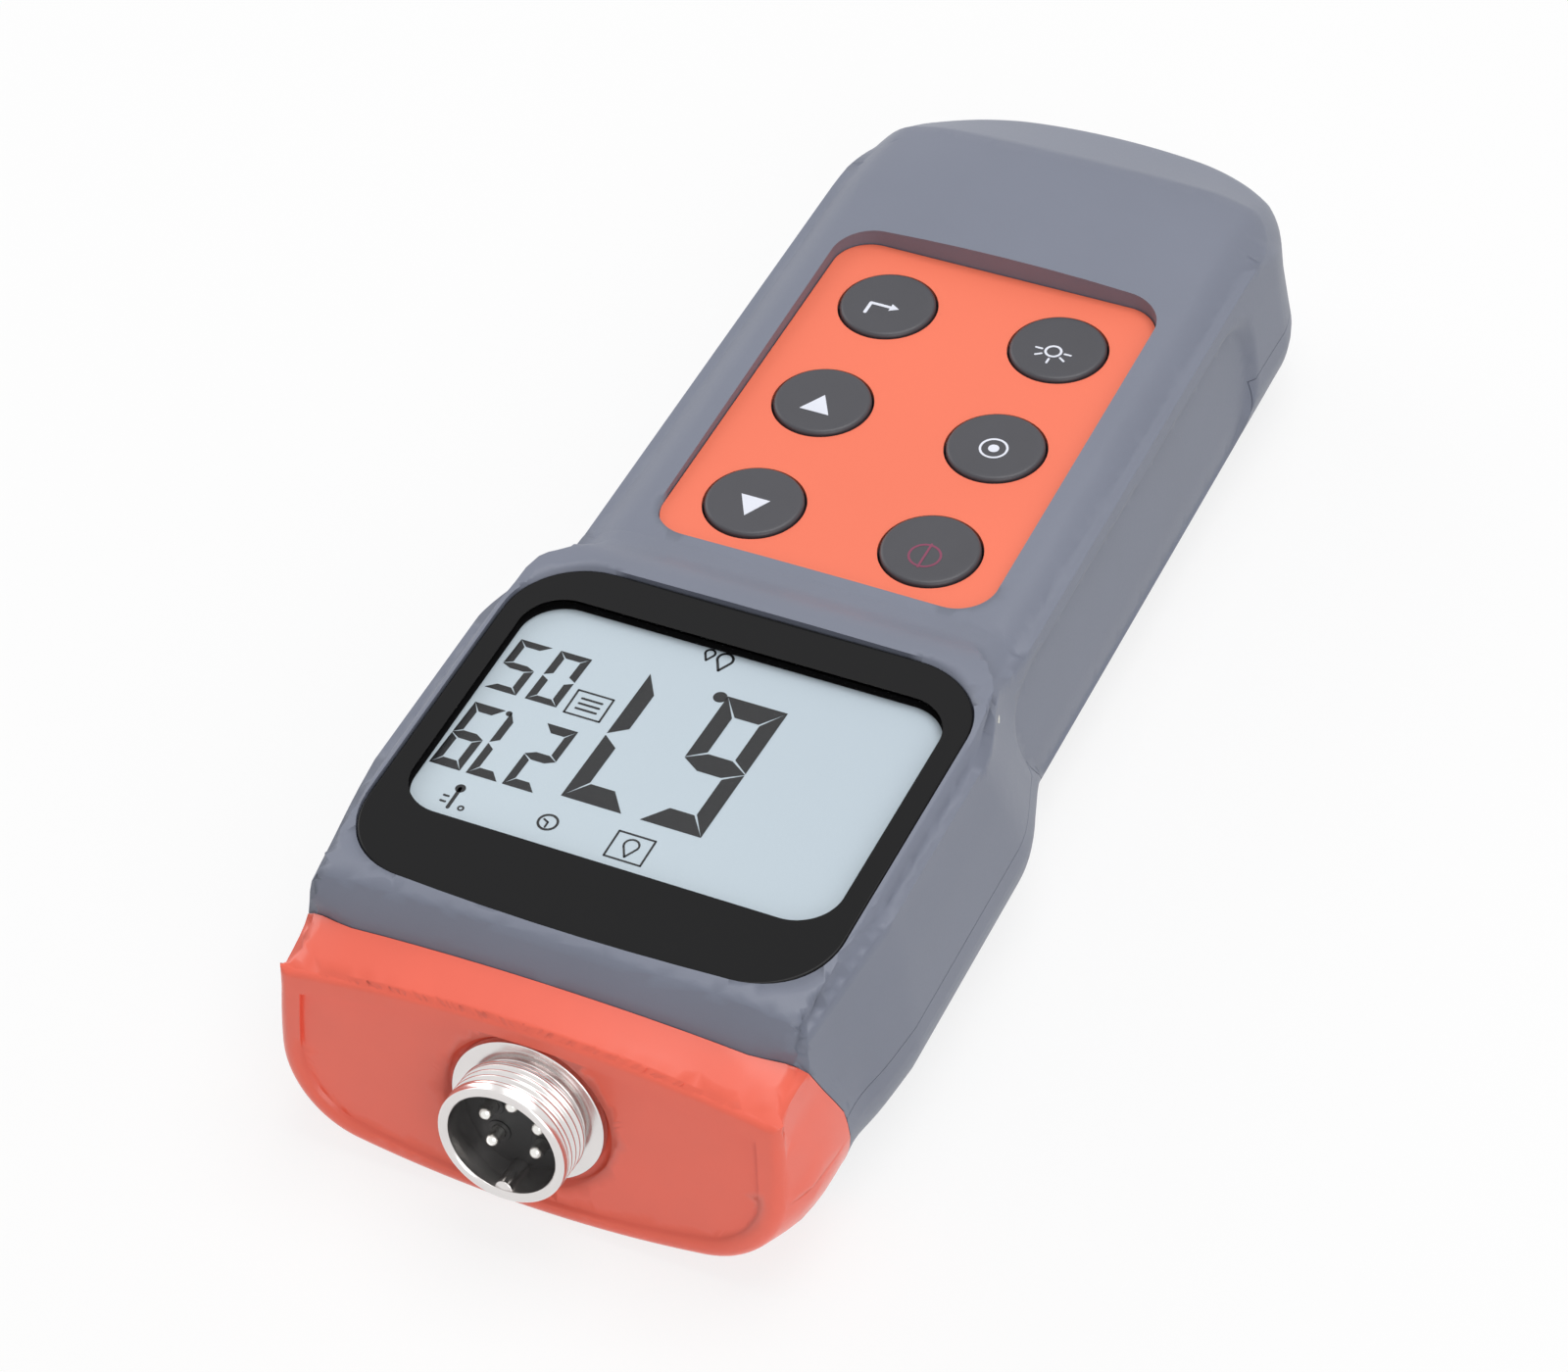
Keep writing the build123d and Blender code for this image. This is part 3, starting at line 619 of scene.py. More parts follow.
def ease(start, end, value):
    """0 before the start, 1 after the end, with a smooth passage between."""
    share = np.clip((value - start) / (end - start), 0, 1)
    return share * share * (3 - 2 * share)


def ramp(start, length, value):
    """0 before the start, 1 from a length further on, with a straight rise between."""
    return np.clip((value - start) / length, 0, 1)


def half_width(y):
    """Half the width along the housing, in millimetres: handle, wider head, nose and cap."""
    head_gain, nose_loss, cap_loss = 4.1, 2.2, 1.8
    half = handle_half + head_gain * ease(11.3, 28.1, y)
    return half - nose_loss * ease(56.0, cap_joint, y) - cap_loss * ease(cap_joint, 86.0, y)


def wall_share(x, y, half):
    """0 over the flat front, 1 at the side wall, with a ramp over the shoulder between."""
    handle_flat, head_flat_gain, wall = 24.0, 6.4, 1.3
    flat = handle_flat + head_flat_gain * ease(11.0, 22.0, y)
    return ramp(flat, half - wall - flat, np.abs(x))


def lean_walls(x, y, z, share):
    """The wall moves in by tan(lean) times its height above the start, and the shoulder sinks."""
    lean_start, shoulder_start, shoulder_height, shoulder_sink = 12.0, 24.0, 8.0, 1.8
    cap_fade = 1 - ease(78.5, 87.0, y)
    inward = np.tan(side_lean) * np.clip(z - lean_start, 0, None) * share * cap_fade
    sink = shoulder_sink * share**2 * ramp(shoulder_start, shoulder_height, z) * cap_fade
    return x - np.sign(x) * inward, z - sink


def shear_neck(y, z, share):
    """Where the head widens, the wall moves to the socket near the front, and off it below."""
    still_height, reach, shift = 20.0, 10.0, 3.2
    neck = ease(4.0, 16.0, y) * (1 - ease(24.0, 44.0, y))
    return y + neck * share * np.clip((z - still_height) / reach, -0.9, 1.0) * shift


def soften_nose(x, y, z, half):
    """The nose's corners sink by the square of their share, and so does the crest of its edge."""
    straight_half, corner_start, corner_height, corner_sink = 19.0, 22.0, 10.0, 1.3
    crest_y, crest_reach, crest_start, crest_height, crest_sink = 75.0, 2.6, 30.0, 3.0, 0.55
    corner = ramp(straight_half, half - straight_half, np.abs(x)) ** 2
    nose = ease(60.0, 74.0, y) * (1 - ease(75.5, 80.0, y))
    z = z - corner_sink * corner * nose * ramp(corner_start, corner_height, z)
    crest = np.clip(1 - np.abs(y - crest_y) / crest_reach, 0, 1) ** 2
    return z - crest_sink * crest * ramp(crest_start, crest_height, z)


def run_joint_back(x, y, z):
    """The cap's joint runs back down the sides, and the low wall beside it swells."""
    joint_top, slope, farthest = 30.0, 0.42, 6.0
    swell, swell_fade_start, swell_fade_height = 1.3, 14.0, 8.0
    back = np.clip((joint_top - z) * slope, 0, farthest) * ease(24.0, 30.0, np.abs(x))
    y = y - back * np.where(y < cap_joint, ease(60.0, cap_joint, y), 1 - ease(cap_joint, 84.5, y))
    bulge = ease(66.0, 78.0, y) * (1 - ease(80.0, 87.0, y)) * ease(26.0, 31.0, np.abs(x))
    return x + np.sign(x) * swell * bulge * (1 - ramp(swell_fade_start, swell_fade_height, z)), y


def lower_tail(x, y, z):
    """The tail sinks above the back, most at its outer corners, which also move to the socket."""
    middle_sink, outer_sink, middle_back, outer_forward = 1.2, 2.8, 0.6, 2.6
    raised_start, raised_height = 10.0, 12.0
    tail = 1 - ease(-92.0, -62.0, y)
    outer = ramp(0.0, handle_half, np.abs(x)) ** 2
    raised = ramp(raised_start, raised_height, z)
    forward = (outer_forward * outer - middle_back) * tail * raised
    return y + forward, z - (middle_sink + outer_sink * outer) * tail * raised


def formed(points):
    """All steps in turn. They work in millimetres, and each starts from the place reached so far."""
    x, y, z = (points / MM).T
    half = half_width(y)
    share = wall_share(x, y, half)
    x, z = lean_walls(x, y, z, share)
    y = shear_neck(y, z, share)
    z = soften_nose(x, y, z, half)
    x, y = run_joint_back(x, y, z)
    y, z = lower_tail(x, y, z)
    return np.stack([x, y, z], 1) * MM


# %% Finer copies, formed
outer_pieces = ("front_shell", "rear_shell", "nose_cap", "battery_door")
longest_edge = 2.4 * MM
merge_distance = 1e-6
most_halvings = 7
crease_angle = radians(24)


def finer_copy(name):
    """A merged copy of a solid whose long edges are halved until all are short."""
    work = bmesh.new()
    work.from_mesh(frame["nodes"][name].data)
    bmesh.ops.remove_doubles(work, verts=work.verts, dist=merge_distance)
    for _ in range(most_halvings):
        long_edges = [edge for edge in work.edges if edge.calc_length() > longest_edge]
        if not long_edges:
            break
        bmesh.ops.subdivide_edges(work, edges=long_edges, cuts=1)
        bmesh.ops.triangulate(work, faces=[face for face in work.faces if len(face.verts) > 3])
    mesh = bpy.data.meshes.new(f"{name}_formed")
    work.to_mesh(mesh)
    work.free()
    return mesh


for name in outer_pieces:
    mesh = finer_copy(name)
    mesh.vertices.foreach_set("co", formed(vertex_array(mesh)).ravel())
    mesh.polygons.foreach_set("use_smooth", [True] * len(mesh.polygons))
    mesh.set_sharp_from_angle(angle=crease_angle)
    mesh.materials.append(dressing[name])
    piece = add_object(f"{name}_formed", mesh)
    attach(piece, "battery_door" if name == "battery_door" else "body")
    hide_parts(name)
    print(f"{name}_formed: {len(mesh.polygons)} faces")


# %% [markdown]
# ## The threaded probe socket
#
# The socket is a turned nickel barrel: a flange, a short neck, a fine thread and a rolled rim, with
# a bore for the plug. A bump map would show rings, but the outline has to show the thread too, so
# the thread is real. The profile is carried round the axis, and its radius also depends on the
# angle: a wave that moves on by one pitch in each turn is a helix. The wave fades in and out at
# the ends, as the tool runs in and out of the metal.

# %% Face axis of the socket, from the frame
thread_mount = next(m for m in frame["record"]["mounts"] if m["name"] == "socket_thread")
socket_axis = np.array(thread_mount["axis"])
thread_length = thread_mount["dims"]["length_mm"] * MM
crest_radius = thread_mount["dims"]["r_mm"] * MM
thread_start = 0.7 * MM
face_centre = np.array(thread_mount["pos_m"]) - socket_axis * (thread_start + thread_length / 2)
bore_radius = 6.7 * MM
neck_radius = 7.2 * MM
flange_radius = 9.6 * MM
flange_front = -0.5 * MM
flange_back = -1.7 * MM
barrel_back = -8.6 * MM
barrel_front = 6.0 * MM
thread_pitch = 1.0 * MM
thread_depth = 0.42 * MM
thread_end = 4.75 * MM
thread_stations = 52
wave_power = 1.5
barrel_columns = 144
step_bevel = 0.18 * MM
rim_bevel = 0.08 * MM
rim_relief = 0.05 * MM
rim_outer_depth = 0.25 * MM
rim_chamfer = 0.3 * MM
print("socket face centre, mm:", np.round(face_centre / MM, 2))


# %% Barrel with a helical thread
def make_socket_barrel():
    """Radius = profile - depth * wave((s - pitch * angle / turn) / pitch), faded at both ends."""
    plain = soften(
        [
            (barrel_back, bore_radius),
            (barrel_back, crest_radius),
            (flange_back, crest_radius),
            (flange_back, flange_radius),
            (flange_front, flange_radius),
            (flange_front, neck_radius),
            (thread_start, neck_radius),
            (thread_start, crest_radius),
        ],
        step_bevel,
    )
    threaded = np.linspace(thread_start, thread_end, thread_stations)[1:]
    threaded = np.stack([threaded, np.full_like(threaded, crest_radius)], 1)
    rim = soften(
        [
            (thread_end + rim_relief, crest_radius - rim_relief),
            (barrel_front - rim_outer_depth, crest_radius - rim_relief),
            (barrel_front, crest_radius - rim_relief - rim_chamfer),
            (barrel_front, bore_radius + rim_chamfer),
            (barrel_front - rim_chamfer, bore_radius),
            (barrel_back, bore_radius),
        ],
        rim_bevel,
    )
    line = np.concatenate([plain, threaded, rim[:-1]])
    centre, across, up, along = axis_frame(face_centre, socket_axis)
    angle = np.linspace(0, 2 * pi, barrel_columns, endpoint=False)
    s, radius = line[:, :1], line[:, 1:]
    wave = 0.5 + 0.5 * np.cos(2 * pi * (s / thread_pitch) - angle)
    fade = np.clip((s - thread_start) / thread_pitch, 0, 1)
    fade = fade * np.clip((thread_end - s) / (thread_pitch / 2), 0, 1)
    radius = radius - thread_depth * wave**wave_power * fade * (radius > neck_radius)
    spoke = np.cos(angle)[:, None] * across + np.sin(angle)[:, None] * up
    grid = centre + s[:, :, None] * along + radius[:, :, None] * spoke[None]
    return surface("socket_barrel", [grid], nickel, round_rows=True)


socket_barrel = make_socket_barrel()
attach(socket_barrel, "body")
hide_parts("socket_shell")

# %% [markdown]
# ## Key rib, insulator face and pins
#
# A half-round rib in the bore lets the plug in one way only. The pins are turned rods with round
# ends, five on one circle, and a raised collar of the black insulator holds each one. They are the
# same profile placed five times, which keeps them alike.

# %% Rib, pins and collars
pin_radius = 0.85 * MM
pin_circle = 3.6 * MM
pin_front = 3.6 * MM
pin_back = -12.4 * MM
pin_columns, fine_columns = 24, 32
insulator_face = 1.2 * MM
collar_foot = insulator_face - 0.2 * MM
collar_top = insulator_face + 0.12 * MM
collar_radius = 1.45 * MM
collar_hole = pin_radius + 0.02 * MM
collar_bevel = 0.05 * MM
rib_foot = insulator_face - 0.1 * MM
rib_end = barrel_front - 0.5 * MM
rib_tip = barrel_front - 0.35 * MM
rib_radius = 1.1 * MM
rib_bevel = 0.15 * MM
rib_sink = 0.1 * MM
pin_angles = [radians(a) for a in (90, 20, 155, -43, 217)]


def face_point(right, up, out):
    """A point on the socket's face: to the side, up the face and out along the socket."""
    upward = np.cross([1.0, 0, 0], socket_axis)
    return face_centre + np.array([-right, 0, 0]) + upward * up + socket_axis * out


def pin_profile():
    """A rod whose front end is a half ball: s = front - r + r * sin, out = r * cos."""
    turn = np.linspace(0, pi / 2, 7)
    tip = np.stack([pin_front - pin_radius + pin_radius * np.sin(turn), pin_radius * np.cos(turn)], 1)
    return np.concatenate([[(pin_back, 0), (pin_back, pin_radius)], tip])


pin_places = [face_point(-pin_circle * cos(a), pin_circle * sin(a), 0) for a in pin_angles]
pin_grids = [spun_grid(pin_profile(), place, socket_axis, pin_columns) for place in pin_places]
pins = surface("round_pins", pin_grids, pin_metal)
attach(pins, "body")
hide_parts("socket_pins")

collar_line = soften(
    [
        (collar_foot, collar_hole),
        (collar_foot, collar_radius),
        (collar_top, collar_radius),
        (collar_top, collar_hole),
        (collar_foot, collar_hole),
    ],
    collar_bevel,
)[:-1]
collar_grids = [spun_grid(collar_line, place, socket_axis, fine_columns) for place in pin_places]
collars = surface("pin_collars", collar_grids, socket_plastic, round_rows=True)
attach(collars, "body")

rib_line = soften(
    [(rib_foot, 0), (rib_foot, rib_radius), (rib_end, rib_radius), (rib_tip, 0)], rib_bevel
)
rib_place = face_point(0, -bore_radius - rib_sink, 0)
rib = surface("key_rib", [spun_grid(rib_line, rib_place, socket_axis, fine_columns)], nickel)
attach(rib, "body")

# %% [markdown]
# ## Six round keys
#
# Each key is a moulded cap with a flange under the shell and a plunger on the mat. The cap's edge
# is well rounded and its top is a shallow dish for the fingertip: height = rim - depth * (1 -
# (r / R) squared). A bevel modifier would round the edge too, but the profile gives both at once.

# %% Keys with a rounded edge and a shallow dish
key_names = [f"{use}_key" for use in ("power", "calibrate", "light", "up", "down", "enter")]
key_radius = 6.2 * MM
key_flange = 1.0 * MM
key_flange_height = 1.2 * MM
key_flange_top = 26.9 * MM
plunger_radius = 2.6 * MM
stem_bevel = 0.12 * MM
key_columns = 72
key_edge = 0.55 * MM
dish_depth = 0.12 * MM
key_low, key_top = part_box("power_key")[0].z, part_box("power_key")[1].z
dish_radius = key_radius - key_edge


def dish(radius):
    """Height of a key's top at a distance from its middle."""
    share = np.clip(radius / dish_radius, 0, 1)
    return key_top - dish_depth * (1 - share**2)


def key_profile():
    """The stem, then a quarter circle round the edge, then the dish inwards to the middle."""
    edge = np.linspace(0, pi / 2, 6)
    rise, reach = key_edge * np.sin(edge), key_edge * np.cos(edge)
    rounded = np.stack([key_top - key_edge + rise, key_radius - key_edge + reach], 1)
    inward = np.linspace(dish_radius, 0, 8)[1:]
    top = np.stack([dish(inward), inward], 1)
    flange_bottom = key_flange_top - key_flange_height
    stem = soften(
        [
            (key_low, 0),
            (key_low, plunger_radius),
            (flange_bottom, plunger_radius),
            (flange_bottom, key_radius + key_flange),
            (key_flange_top, key_radius + key_flange),
            (key_flange_top, key_radius),
            (key_top - 2 * key_edge, key_radius),
        ],
        stem_bevel,
    )
    return np.concatenate([stem, rounded, top])


key_middles = {}
for key_name in key_names:
    low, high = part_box(key_name)
    middle = (low + high) / 2
    key_middles[key_name] = np.array([middle.x, middle.y])
    spun_key = spun_grid(key_profile(), (middle.x, middle.y, 0), (0, 0, 1), key_columns)
    cap = surface(f"{key_name}_cap", [spun_key], key_plastic)
    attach(cap, key_name)
    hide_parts(key_name)

# %% [markdown]
# ## Printed marks as thin plates
#
# Ink could be painted by a material, but every mark would need its own mask. A mark as a thin
# plate, a few hundredths of a millimetre thick, has crisp edges at any size. Two shapes are enough:
# a filled outline, and a stroke, which is a line with a width and rounded ends.

# %% Plates from outlines and strokes
def plate_arrays(outline, floor, thickness):
    """Points and faces of a thin prism: the outline at the floor and again a thickness higher."""
    flat = np.array(outline, float)
    x, y = flat[:, 0], flat[:, 1]
    if (x * np.roll(y, -1) - np.roll(x, -1) * y).sum() < 0:
        flat = flat[::-1]
    count = len(flat)
    height = np.array([floor(flat), floor(flat) + thickness])
    points = np.concatenate([np.column_stack([flat, height[k]]) for k in range(2)])
    i = np.arange(count)
    sides = np.stack([i, (i + 1) % count, (i + 1) % count + count, i + count], 1)
    return points, [i[::-1].tolist(), (i + count).tolist(), *sides.tolist()]


def plates(name, outlines, floor, thickness, material):
    """One mesh from outlines in millimetres, laid on a function that gives the floor's height."""
    all_points, all_faces, start = [], [], 0
    for outline in outlines:
        points, faces = plate_arrays(np.array(outline, float) * MM, floor, thickness)
        all_points.append(points)
        all_faces += [[corner + start for corner in face] for face in faces]
        start += len(points)
    piece = add_mesh(name, np.concatenate(all_points), all_faces, material, smooth=False)
    print(f"{name}: {len(outlines)} plates")
    return piece


def rays_at(angles):
    """Points on the unit circle at the given angles."""
    return np.stack([np.cos(angles), np.sin(angles)], 1)


def stroke(start, end, width):
    """Outline of a line with round ends: half circles of half the width round both ends."""
    a, b = np.array(start, float), np.array(end, float)
    heading = np.arctan2(*(b - a)[::-1])
    half_circle = width / 2 * rays_at(heading + np.linspace(-pi / 2, pi / 2, 7))
    return np.concatenate([b + half_circle, a - half_circle])


def ring(centre, radius, width, first=0.0, last=2 * pi, count=40):
    """A ring or an arc as a chain of short four-cornered plates."""
    rays = rays_at(np.linspace(first, last, count + 1))
    inner = np.array(centre) + (radius - width / 2) * rays
    outer = np.array(centre) + (radius + width / 2) * rays
    return [[inner[k], outer[k], outer[k + 1], inner[k + 1]] for k in range(count)]


def level(height):
    """A floor for plates that has the same height everywhere."""
    return lambda flat: np.full(len(flat), height)


# %% [markdown]
# ## Marks on the keys
#
# Only plain signs are drawn: a ring with a bar for power, arrow heads for up and down, a bent arrow
# for enter, a small sun for the light and a target for calibrating.

# %% Key signs
ink_lift = 0.004 * MM
key_ink = 0.02 * MM
ink_white = make_moulded("white_ink", paint(226, 229, 240), 0.45, 0.2 * MM, 0.001 * MM)
ink_red = make_moulded("plum_ink", paint(128, 52, 82), 0.45, 0.2 * MM, 0.001 * MM)


def key_signs():
    """Outlines in millimetres on the front of the meter, for each key."""
    sun = (-11.5, -41.3)
    ray_start, ray_end = 1.55, 2.35
    rays = []
    for angle in (180, 215, 270, 325, 0):
        ray = np.array([cos(radians(angle)), -sin(radians(angle))])
        rays.append(stroke(sun + ray * ray_start, sun + ray * ray_end, 0.3))
    target = (-11.7, -21.6)
    return {
        "power_key": ring((-11.6, -0.65), 1.95, 0.3) + [stroke((-11.6, -2.8), (-11.6, 1.5), 0.3)],
        "up_key": [[(11.8, 0.9), (9.9, -2.6), (13.8, -2.6)]],
        "down_key": [[(9.9, -19.7), (11.9, -23.1), (13.9, -19.7)]],
        "enter_key": [
            stroke((10.9, -41.7), (13.9, -41.7), 0.45),
            stroke((13.9, -41.7), (13.9, -39.7), 0.45),
            [(10.0, -41.7), (11.2, -42.4), (11.2, -41.0)],
        ],
        "light_key": ring(sun, 1.0, 0.32) + rays,
        "calibrate_key": ring(target, 1.7, 0.3) + ring(target, 0.35, 0.7, count=24),
    }


for key_name, outlines in key_signs().items():
    middle = key_middles[key_name]

    def on_key(flat, middle=middle):
        return dish(np.linalg.norm(flat - middle, axis=1)) + ink_lift

    ink = ink_red if key_name == "power_key" else ink_white
    sign = plates(f"{key_name}_sign", outlines, on_key, key_ink, ink)
    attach(sign, key_name)

# %% [markdown]
# ## The display's front pane and digits
#
# A liquid crystal display is two panes: a larger one behind with the contacts, and a smaller one in
# front that fills the window. The digits have seven segments each. In a cell with the origin at its
# lower left, each segment is a trapezium or a hexagon whose ends are cut at the same slant as its
# neighbour's, and every point is pushed over in proportion to its height, which slants the digit.

# %% Front pane in the window
pane_floor = glass_high.z + 0.02 * MM
pane_top = lens_low.z - 0.12 * MM
pane_margin = 0.85 * MM
pane_half_x = window_half_x + pane_margin
pane_half_y = window_half_y + pane_margin
pane_outline = [
    (sx * pane_half_x / MM, (window_middle_y + sy * pane_half_y) / MM)
    for sx, sy in ((-1, -1), (1, -1), (1, 1), (-1, 1))
]
pane_thickness = pane_top - pane_floor
pane = plates("front_pane", [pane_outline], level(pane_floor), pane_thickness, panel_finish)
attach(pane, "body")


# %% Seven-segment digits and signs
def digit(lit, place, size, strokes, slant, gap):
    """Outlines of the lit segments, a to f clockwise from the top and g across the middle."""
    width, height = size
    side, thick = strokes
    half = height / 2
    x = [0, side, width - side, width]
    y = [0, thick, half - thick / 2, half, half + thick / 2, height - thick, height]
    corners = {
        "a": [(0, 6), (3, 6), (2, 5), (1, 5)],
        "b": [(3, 6), (3, 3), (2, 4), (2, 5)],
        "c": [(3, 3), (3, 0), (2, 1), (2, 2)],
        "d": [(0, 0), (3, 0), (2, 1), (1, 1)],
        "e": [(0, 3), (0, 0), (1, 1), (1, 2)],
        "f": [(0, 6), (0, 3), (1, 4), (1, 5)],
        "g": [(0, 3), (1, 4), (2, 4), (3, 3), (2, 2), (1, 2)],
    }
    outlines = []
    for letter in lit:
        points = np.array([(x[column], y[row]) for column, row in corners[letter]], float)
        middle = (points.min(0) + points.max(0)) / 2
        span = points.max(0) - points.min(0)
        points = middle + (points - middle) * (1 - gap / span)
        points[:, 0] += slant * points[:, 1] / height
        outlines.append(points + np.array(place))
    return outlines


segments = {"0": "abcdef", "2": "abged", "5": "afgcd", "6": "afgedc", "7": "abc", "9": "abcdfg"}
big = dict(size=(8.0, 22.0), strokes=(2.4, 3.2), slant=0.8, gap=0.3)
middle_size = dict(size=(4.2, 10.9), strokes=(1.2, 1.5), slant=0.45, gap=0.2)
small = dict(size=(4.3, 8.9), strokes=(1.2, 1.15), slant=0.4, gap=0.2)
readings = [
    ("6", (-8.6, 31.4), big),
    ("7", (1.5, 31.4), big),
    ("2", (12.8, 43.3), middle_size),
    ("7", (17.5, 43.3), middle_size),
    ("9", (22.3, 43.3), middle_size),
    ("0", (16.7, 31.9), small),
    ("5", (22.0, 31.9), small),
]
display_marks = [
    outline
    for figure, place, form in readings
    for outline in digit(segments[figure], place, **form)
]
display_marks += ring((0.05, 32.0), 0.43, 0.86, count=24)
display_marks += ring((21.8, 43.7), 0.2, 0.4, count=16)


def framed(low, high, line):
    """Four strokes round a box."""
    (x0, y0), (x1, y1) = low, high
    corners = [(x0, y0), (x1, y0), (x1, y1), (x0, y1)]
    return [stroke(corners[k], corners[(k + 1) % 4], line) for k in range(4)]


def drop(middle, radius, line):
    """A drop: an arc over the lower part, and two strokes that meet above it."""
    x, y = middle
    lean = radians(35)
    tip = (x, y + radius * 2.1)
    marks = ring(middle, radius, line, first=pi - lean, last=2 * pi + lean, count=24)
    for side in (-1, 1):
        marks.append(stroke((x + side * radius * cos(lean), y + radius * sin(lean)), tip, line))
    return marks


def thermometer(middle, height, line):
    """A bulb with a stem and two ticks."""
    x, y = middle
    tick_start, tick_end, stem_line = 0.7, 1.3, 1.6 * line
    bulb = ring((x, y - height / 2), height / 10, height / 5, count=20)
    ticks = [stroke((x + tick_start, y + k), (x + tick_end, y + k), line) for k in (0.0, 0.9)]
    return bulb + [stroke((x, y - height / 2), (x, y + height / 2), stem_line)] + ticks


display_marks += ring((19.9, 59.4), 0.32, 0.22, count=20)
display_marks += thermometer((21.4, 58.2), 3.2, 0.28)
display_marks += framed((-3.2, 55.7), (1.4, 59.8), 0.25)
display_marks += drop((-0.9, 57.3), 0.9, 0.25)
display_marks += framed((11.4, 37.1), (16.0, 41.0), 0.25)
display_marks += [stroke((12.4, 38.2 + k), (15.0, 38.2 + k), 0.3) for k in (0.0, 0.85, 1.7)]
display_marks += ring((9.6, 57.6), 1.15, 0.3, count=32)
display_marks += [stroke((9.6, 57.6), (9.6, 58.4), 0.25), stroke((9.6, 57.6), (10.2, 57.3), 0.25)]
display_marks += drop((2.2, 26.1), 0.95, 0.32) + drop((4.3, 25.8), 0.6, 0.28)

digit_lift = 0.01 * MM
digit_ink = 0.03 * MM
ink_black = make_moulded("dark_crystal", paint(12, 14, 18), 0.35, 0.2 * MM, 0.001 * MM)
digit_floor = level(pane_top + digit_lift)
digits = plates("display_digits", display_marks, digit_floor, digit_ink, ink_black)
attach(digits, "body")

# %% [markdown]
# ## Case screws with a cross recess
#
# Six screws close the case from the back. The recess is what makes a screw read as one. A cross is
# star shaped about its middle, so it is a polar outline: at an angle t from an arm the edge lies at
# the smaller of length / cos t and width / sin t. Carrying that outline down a little and closing
# it to the middle gives the recess, on the same grid as the round head.

# %% Screws
screw_low, screw_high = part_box("case_screws")
head_height = 2.2 * MM
head_radius = 2.5 * MM
shank_radius = 1.25 * MM
recess_depth = 1.1 * MM
arm_length = 1.45 * MM
arm_half_width = 0.32 * MM
recess_floor, recess_lip = 0.75, 1.05
screw_bevel = 0.05 * MM
face_round = [(0.0, 0.5), (0.12, 0.15), (0.4, 0.0)]
tip_radius = 0.1 * MM
same_head = 2.5 * head_radius


def screw_grid(x, y):
    """Rows from the recess's middle, over the head and up the shank to its tip.

    The rounded face is listed as depth below the face and step in from the rim, in millimetres.
    """
    corner = np.arctan2(arm_half_width, arm_length)
    fold = np.array([0, corner / 2, corner, (corner + pi / 4) / 2, pi / 4])
    fold = np.concatenate([fold, (pi / 2 - fold[1:-1])[::-1]])
    angle = (fold[None] + np.arange(4)[:, None] * pi / 2).ravel()
    from_arm = np.abs((angle + pi / 4) % (pi / 2) - pi / 4)
    cross = np.minimum(arm_length / np.cos(from_arm), arm_half_width / np.sin(from_arm + 1e-6))
    one = np.ones_like(angle)
    face, seat = screw_low.z, screw_low.z + head_height
    rows = [
        (face + recess_depth, 0 * one),
        (face + recess_depth, cross * recess_floor),
        (face + screw_bevel, cross),
        (face, cross * recess_lip),
        *[(face + down * MM, (head_radius - step * MM) * one) for down, step in face_round],
        (seat - screw_bevel, head_radius * one),
        (seat, (head_radius - screw_bevel) * one),
        (seat, shank_radius * one),
        (screw_high.z - shank_radius, shank_radius * one),
        (screw_high.z, tip_radius * one),
        (screw_high.z, 0 * one),
    ]
    ray_x, ray_y = rays_at(angle).T
    ring_rows = [[x + radius * ray_x, y + radius * ray_y, height * one] for height, radius in rows]
    return np.stack([np.column_stack(row) for row in ring_rows])


def screw_middles():
    """Middles of the screws: the node's own points, grouped by their distance from a first one."""
    points = vertex_array(frame["nodes"]["case_screws"].data)
    heads = points[points[:, 2] < screw_low.z + head_height / 2]
    places = []
    while len(heads):
        near = np.linalg.norm(heads[:, :2] - heads[0, :2], axis=1) < same_head
        places.append((heads[near, :2].min(0) + heads[near, :2].max(0)) / 2)
        heads = heads[~near]
    return places


case_screw_places = screw_middles()
screws = surface("cross_screws", [screw_grid(*place) for place in case_screw_places], steel)
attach(screws, "body")
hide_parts("case_screws")
print("screws:", len(case_screw_places))


# %% [markdown]
# ## Floor, light and camera
#
# The photograph shows the meter on white, in the soft light of a tent. A pale floor, a world that
# is white to the camera and the gloss but dimmer as a light, and three large soft lamps do the
# same. A floor of glowing white alone would lose the soft shadow. The camera stands where the
# photograph was taken: its place was worked out once from the corners of the display and the
# keypad, and is given here as a place, a direction and a small roll.

# %% Floor and world
white_share = 0.8
lighting_strength = 0.4
seen_strength = 1.0


def make_floor():
    """Matt white, partly shown as pure white so that only the soft shadow is left on it."""
    finish = Finish("pale_floor")
    finish.set(Base_Color=(0.9, 0.9, 0.9, 1.0), Roughness=0.9, Specular_IOR_Level=0.1)
    ray = finish.node("ShaderNodeLightPath").link.node.outputs
    direct = Value(finish, ray["Is Camera Ray"])
    mirrored = Value(finish, ray["Is Glossy Ray"])
    through = Value(finish, ray["Is Transmission Ray"])
    share = (direct * white_share + mirrored + through).clamped()
    glow = finish.node("ShaderNodeEmission", inputs={"Color": (1, 1, 1, 1), "Strength": 1.0})
    matt = Value(finish, finish.shader.outputs[0])
    mixed = finish.node("ShaderNodeMixShader", inputs={0: share, 1: matt, 2: glow})
    finish.feed(finish.tree.nodes["Material Output"].inputs["Surface"], mixed)
    return finish.material


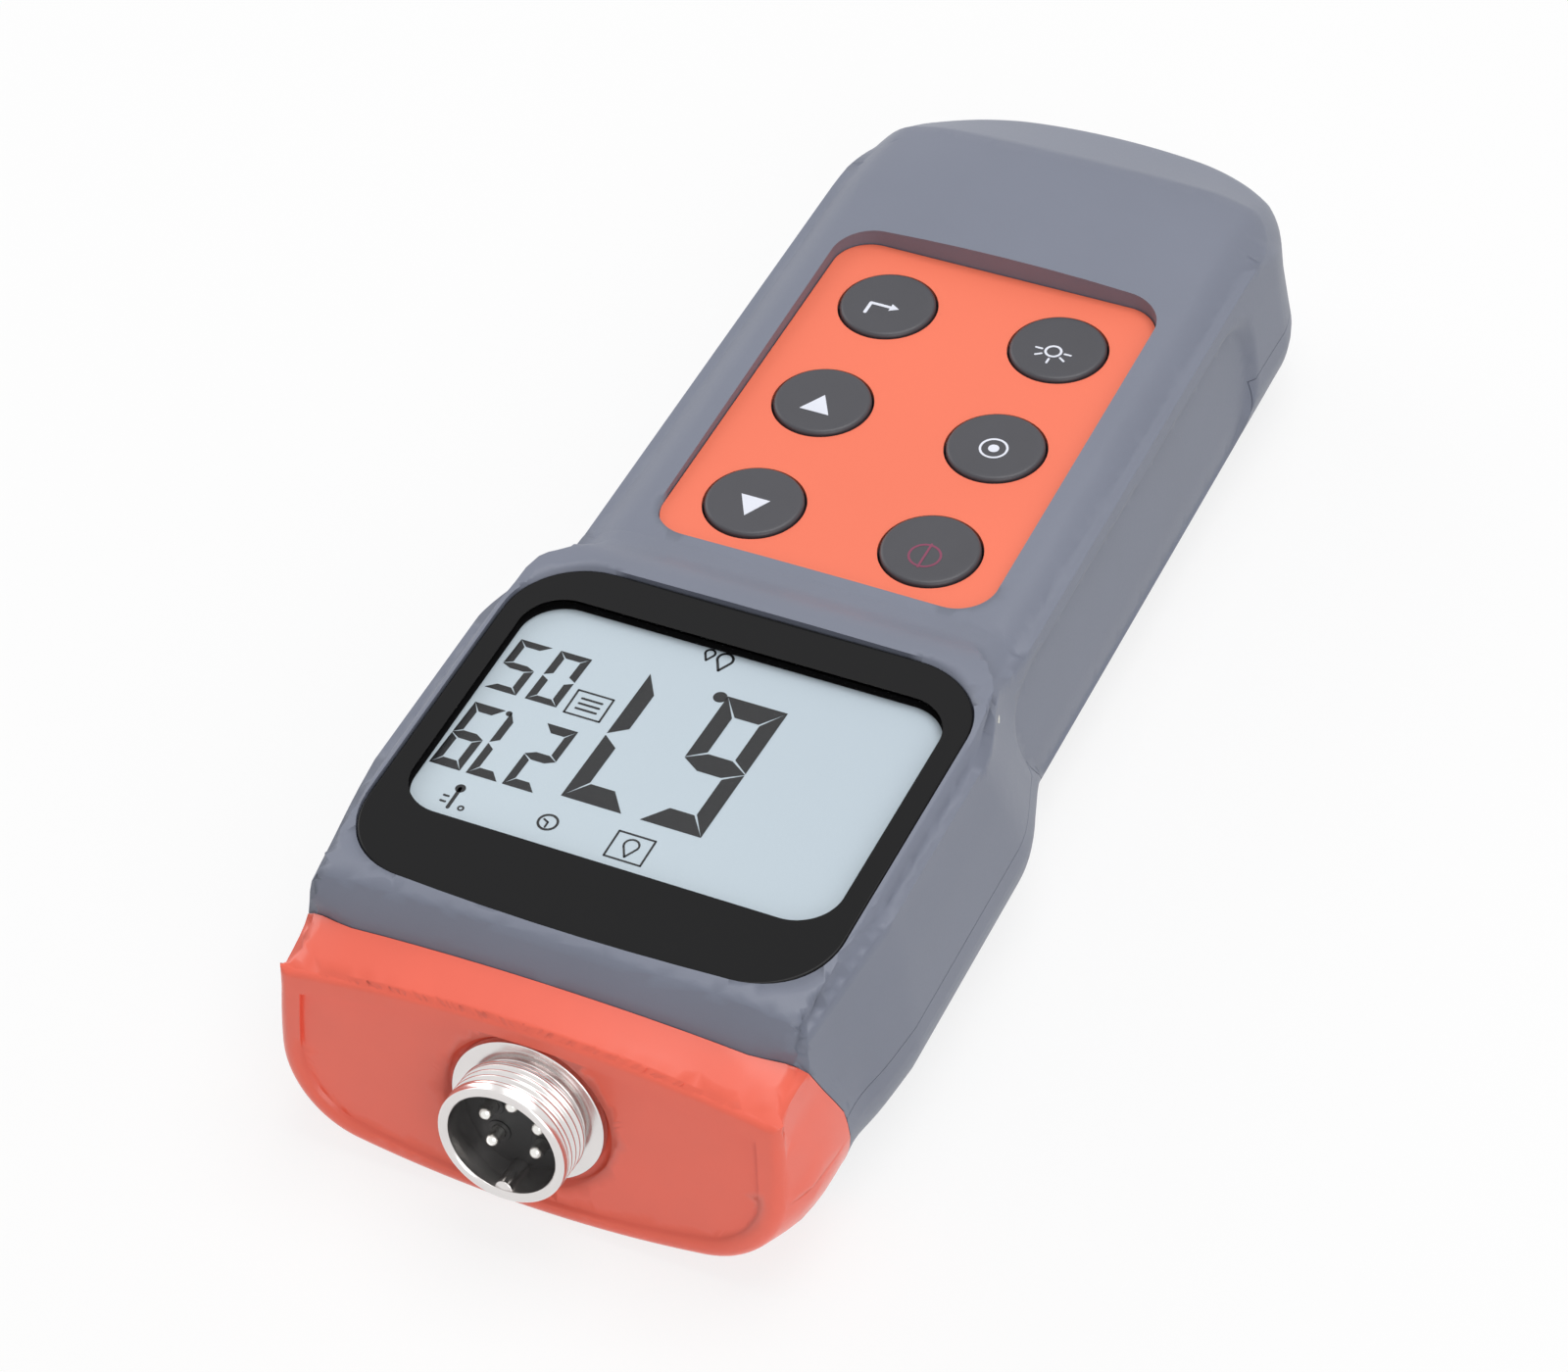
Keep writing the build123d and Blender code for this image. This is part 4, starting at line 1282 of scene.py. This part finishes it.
half_floor = 3.0
floor_drop = 0.03 * MM
floor_points = np.array([[-1, -1, 0], [1, -1, 0], [1, 1, 0], [-1, 1, 0]], float) * half_floor
floor_points[:, 2] = -floor_drop
floor = add_mesh("floor", floor_points, [[0, 1, 2, 3]], make_floor(), smooth=False)
floor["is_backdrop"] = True

world = bpy.data.worlds.new("white_tent")
bpy.context.scene.world = world
world.use_nodes = True
sky = world.node_tree
background = sky.nodes["Background"]
path = sky.nodes.new("ShaderNodeLightPath")
strength = sky.nodes.new("ShaderNodeMix")
seen = path.outputs["Is Camera Ray"]
for ray in ("Is Glossy Ray", "Is Transmission Ray"):
    either = sky.nodes.new("ShaderNodeMath")
    either.operation = "MAXIMUM"
    sky.links.new(seen, either.inputs[0])
    sky.links.new(path.outputs[ray], either.inputs[1])
    seen = either.outputs[0]
sky.links.new(seen, strength.inputs[0])
strength.inputs[2].default_value = lighting_strength
strength.inputs[3].default_value = seen_strength
sky.links.new(strength.outputs[0], background.inputs["Strength"])
background.inputs["Color"].default_value = (1, 1, 1, 1)


# %% Lamps and camera
def soft_lamp(name, place, aim, size, power):
    lamp = bpy.data.lights.new(name, "AREA")
    lamp.shape = "DISK"
    lamp.size = size
    lamp.energy = power
    turn = (Vector(aim) - Vector(place)).to_track_quat("-Z", "Y")
    add_object(name, lamp).matrix_world = Matrix.Translation(place) @ turn.to_matrix().to_4x4()


middle = (cad_low + cad_high) / 2
soft_lamp("overhead", middle + Vector((-0.1, -0.15, 0.7)), middle, size=0.6, power=3.0)
soft_lamp("socket_side", middle + Vector((-0.5, 0.5, 0.4)), middle, size=0.5, power=1.5)
soft_lamp("far_side", middle + Vector((0.6, -0.2, 0.35)), middle, size=0.5, power=1.0)

camera_place = Vector((-182.98, 360.77, 402.17)) * MM
camera_direction = Vector((0.33474, -0.63055, -0.70026))
camera_roll = radians(-4.277)
camera = bpy.data.cameras.new("camera")
camera.lens = 103.9
camera.sensor_width = 36.0
camera_holder = add_object("camera", camera)
rolled = camera_direction.to_track_quat("-Z", "Y") @ Quaternion((0, 0, 1), camera_roll)
camera_holder.matrix_world = Matrix.Translation(camera_place) @ rolled.to_matrix().to_4x4()
bpy.context.scene.camera = camera_holder
bpy.context.scene.view_settings.view_transform = "Standard"

# %% Write the sizes and finish
low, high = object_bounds()
print("visual box, mm:", [round((b - a) / MM, 1) for a, b in zip(low, high)])
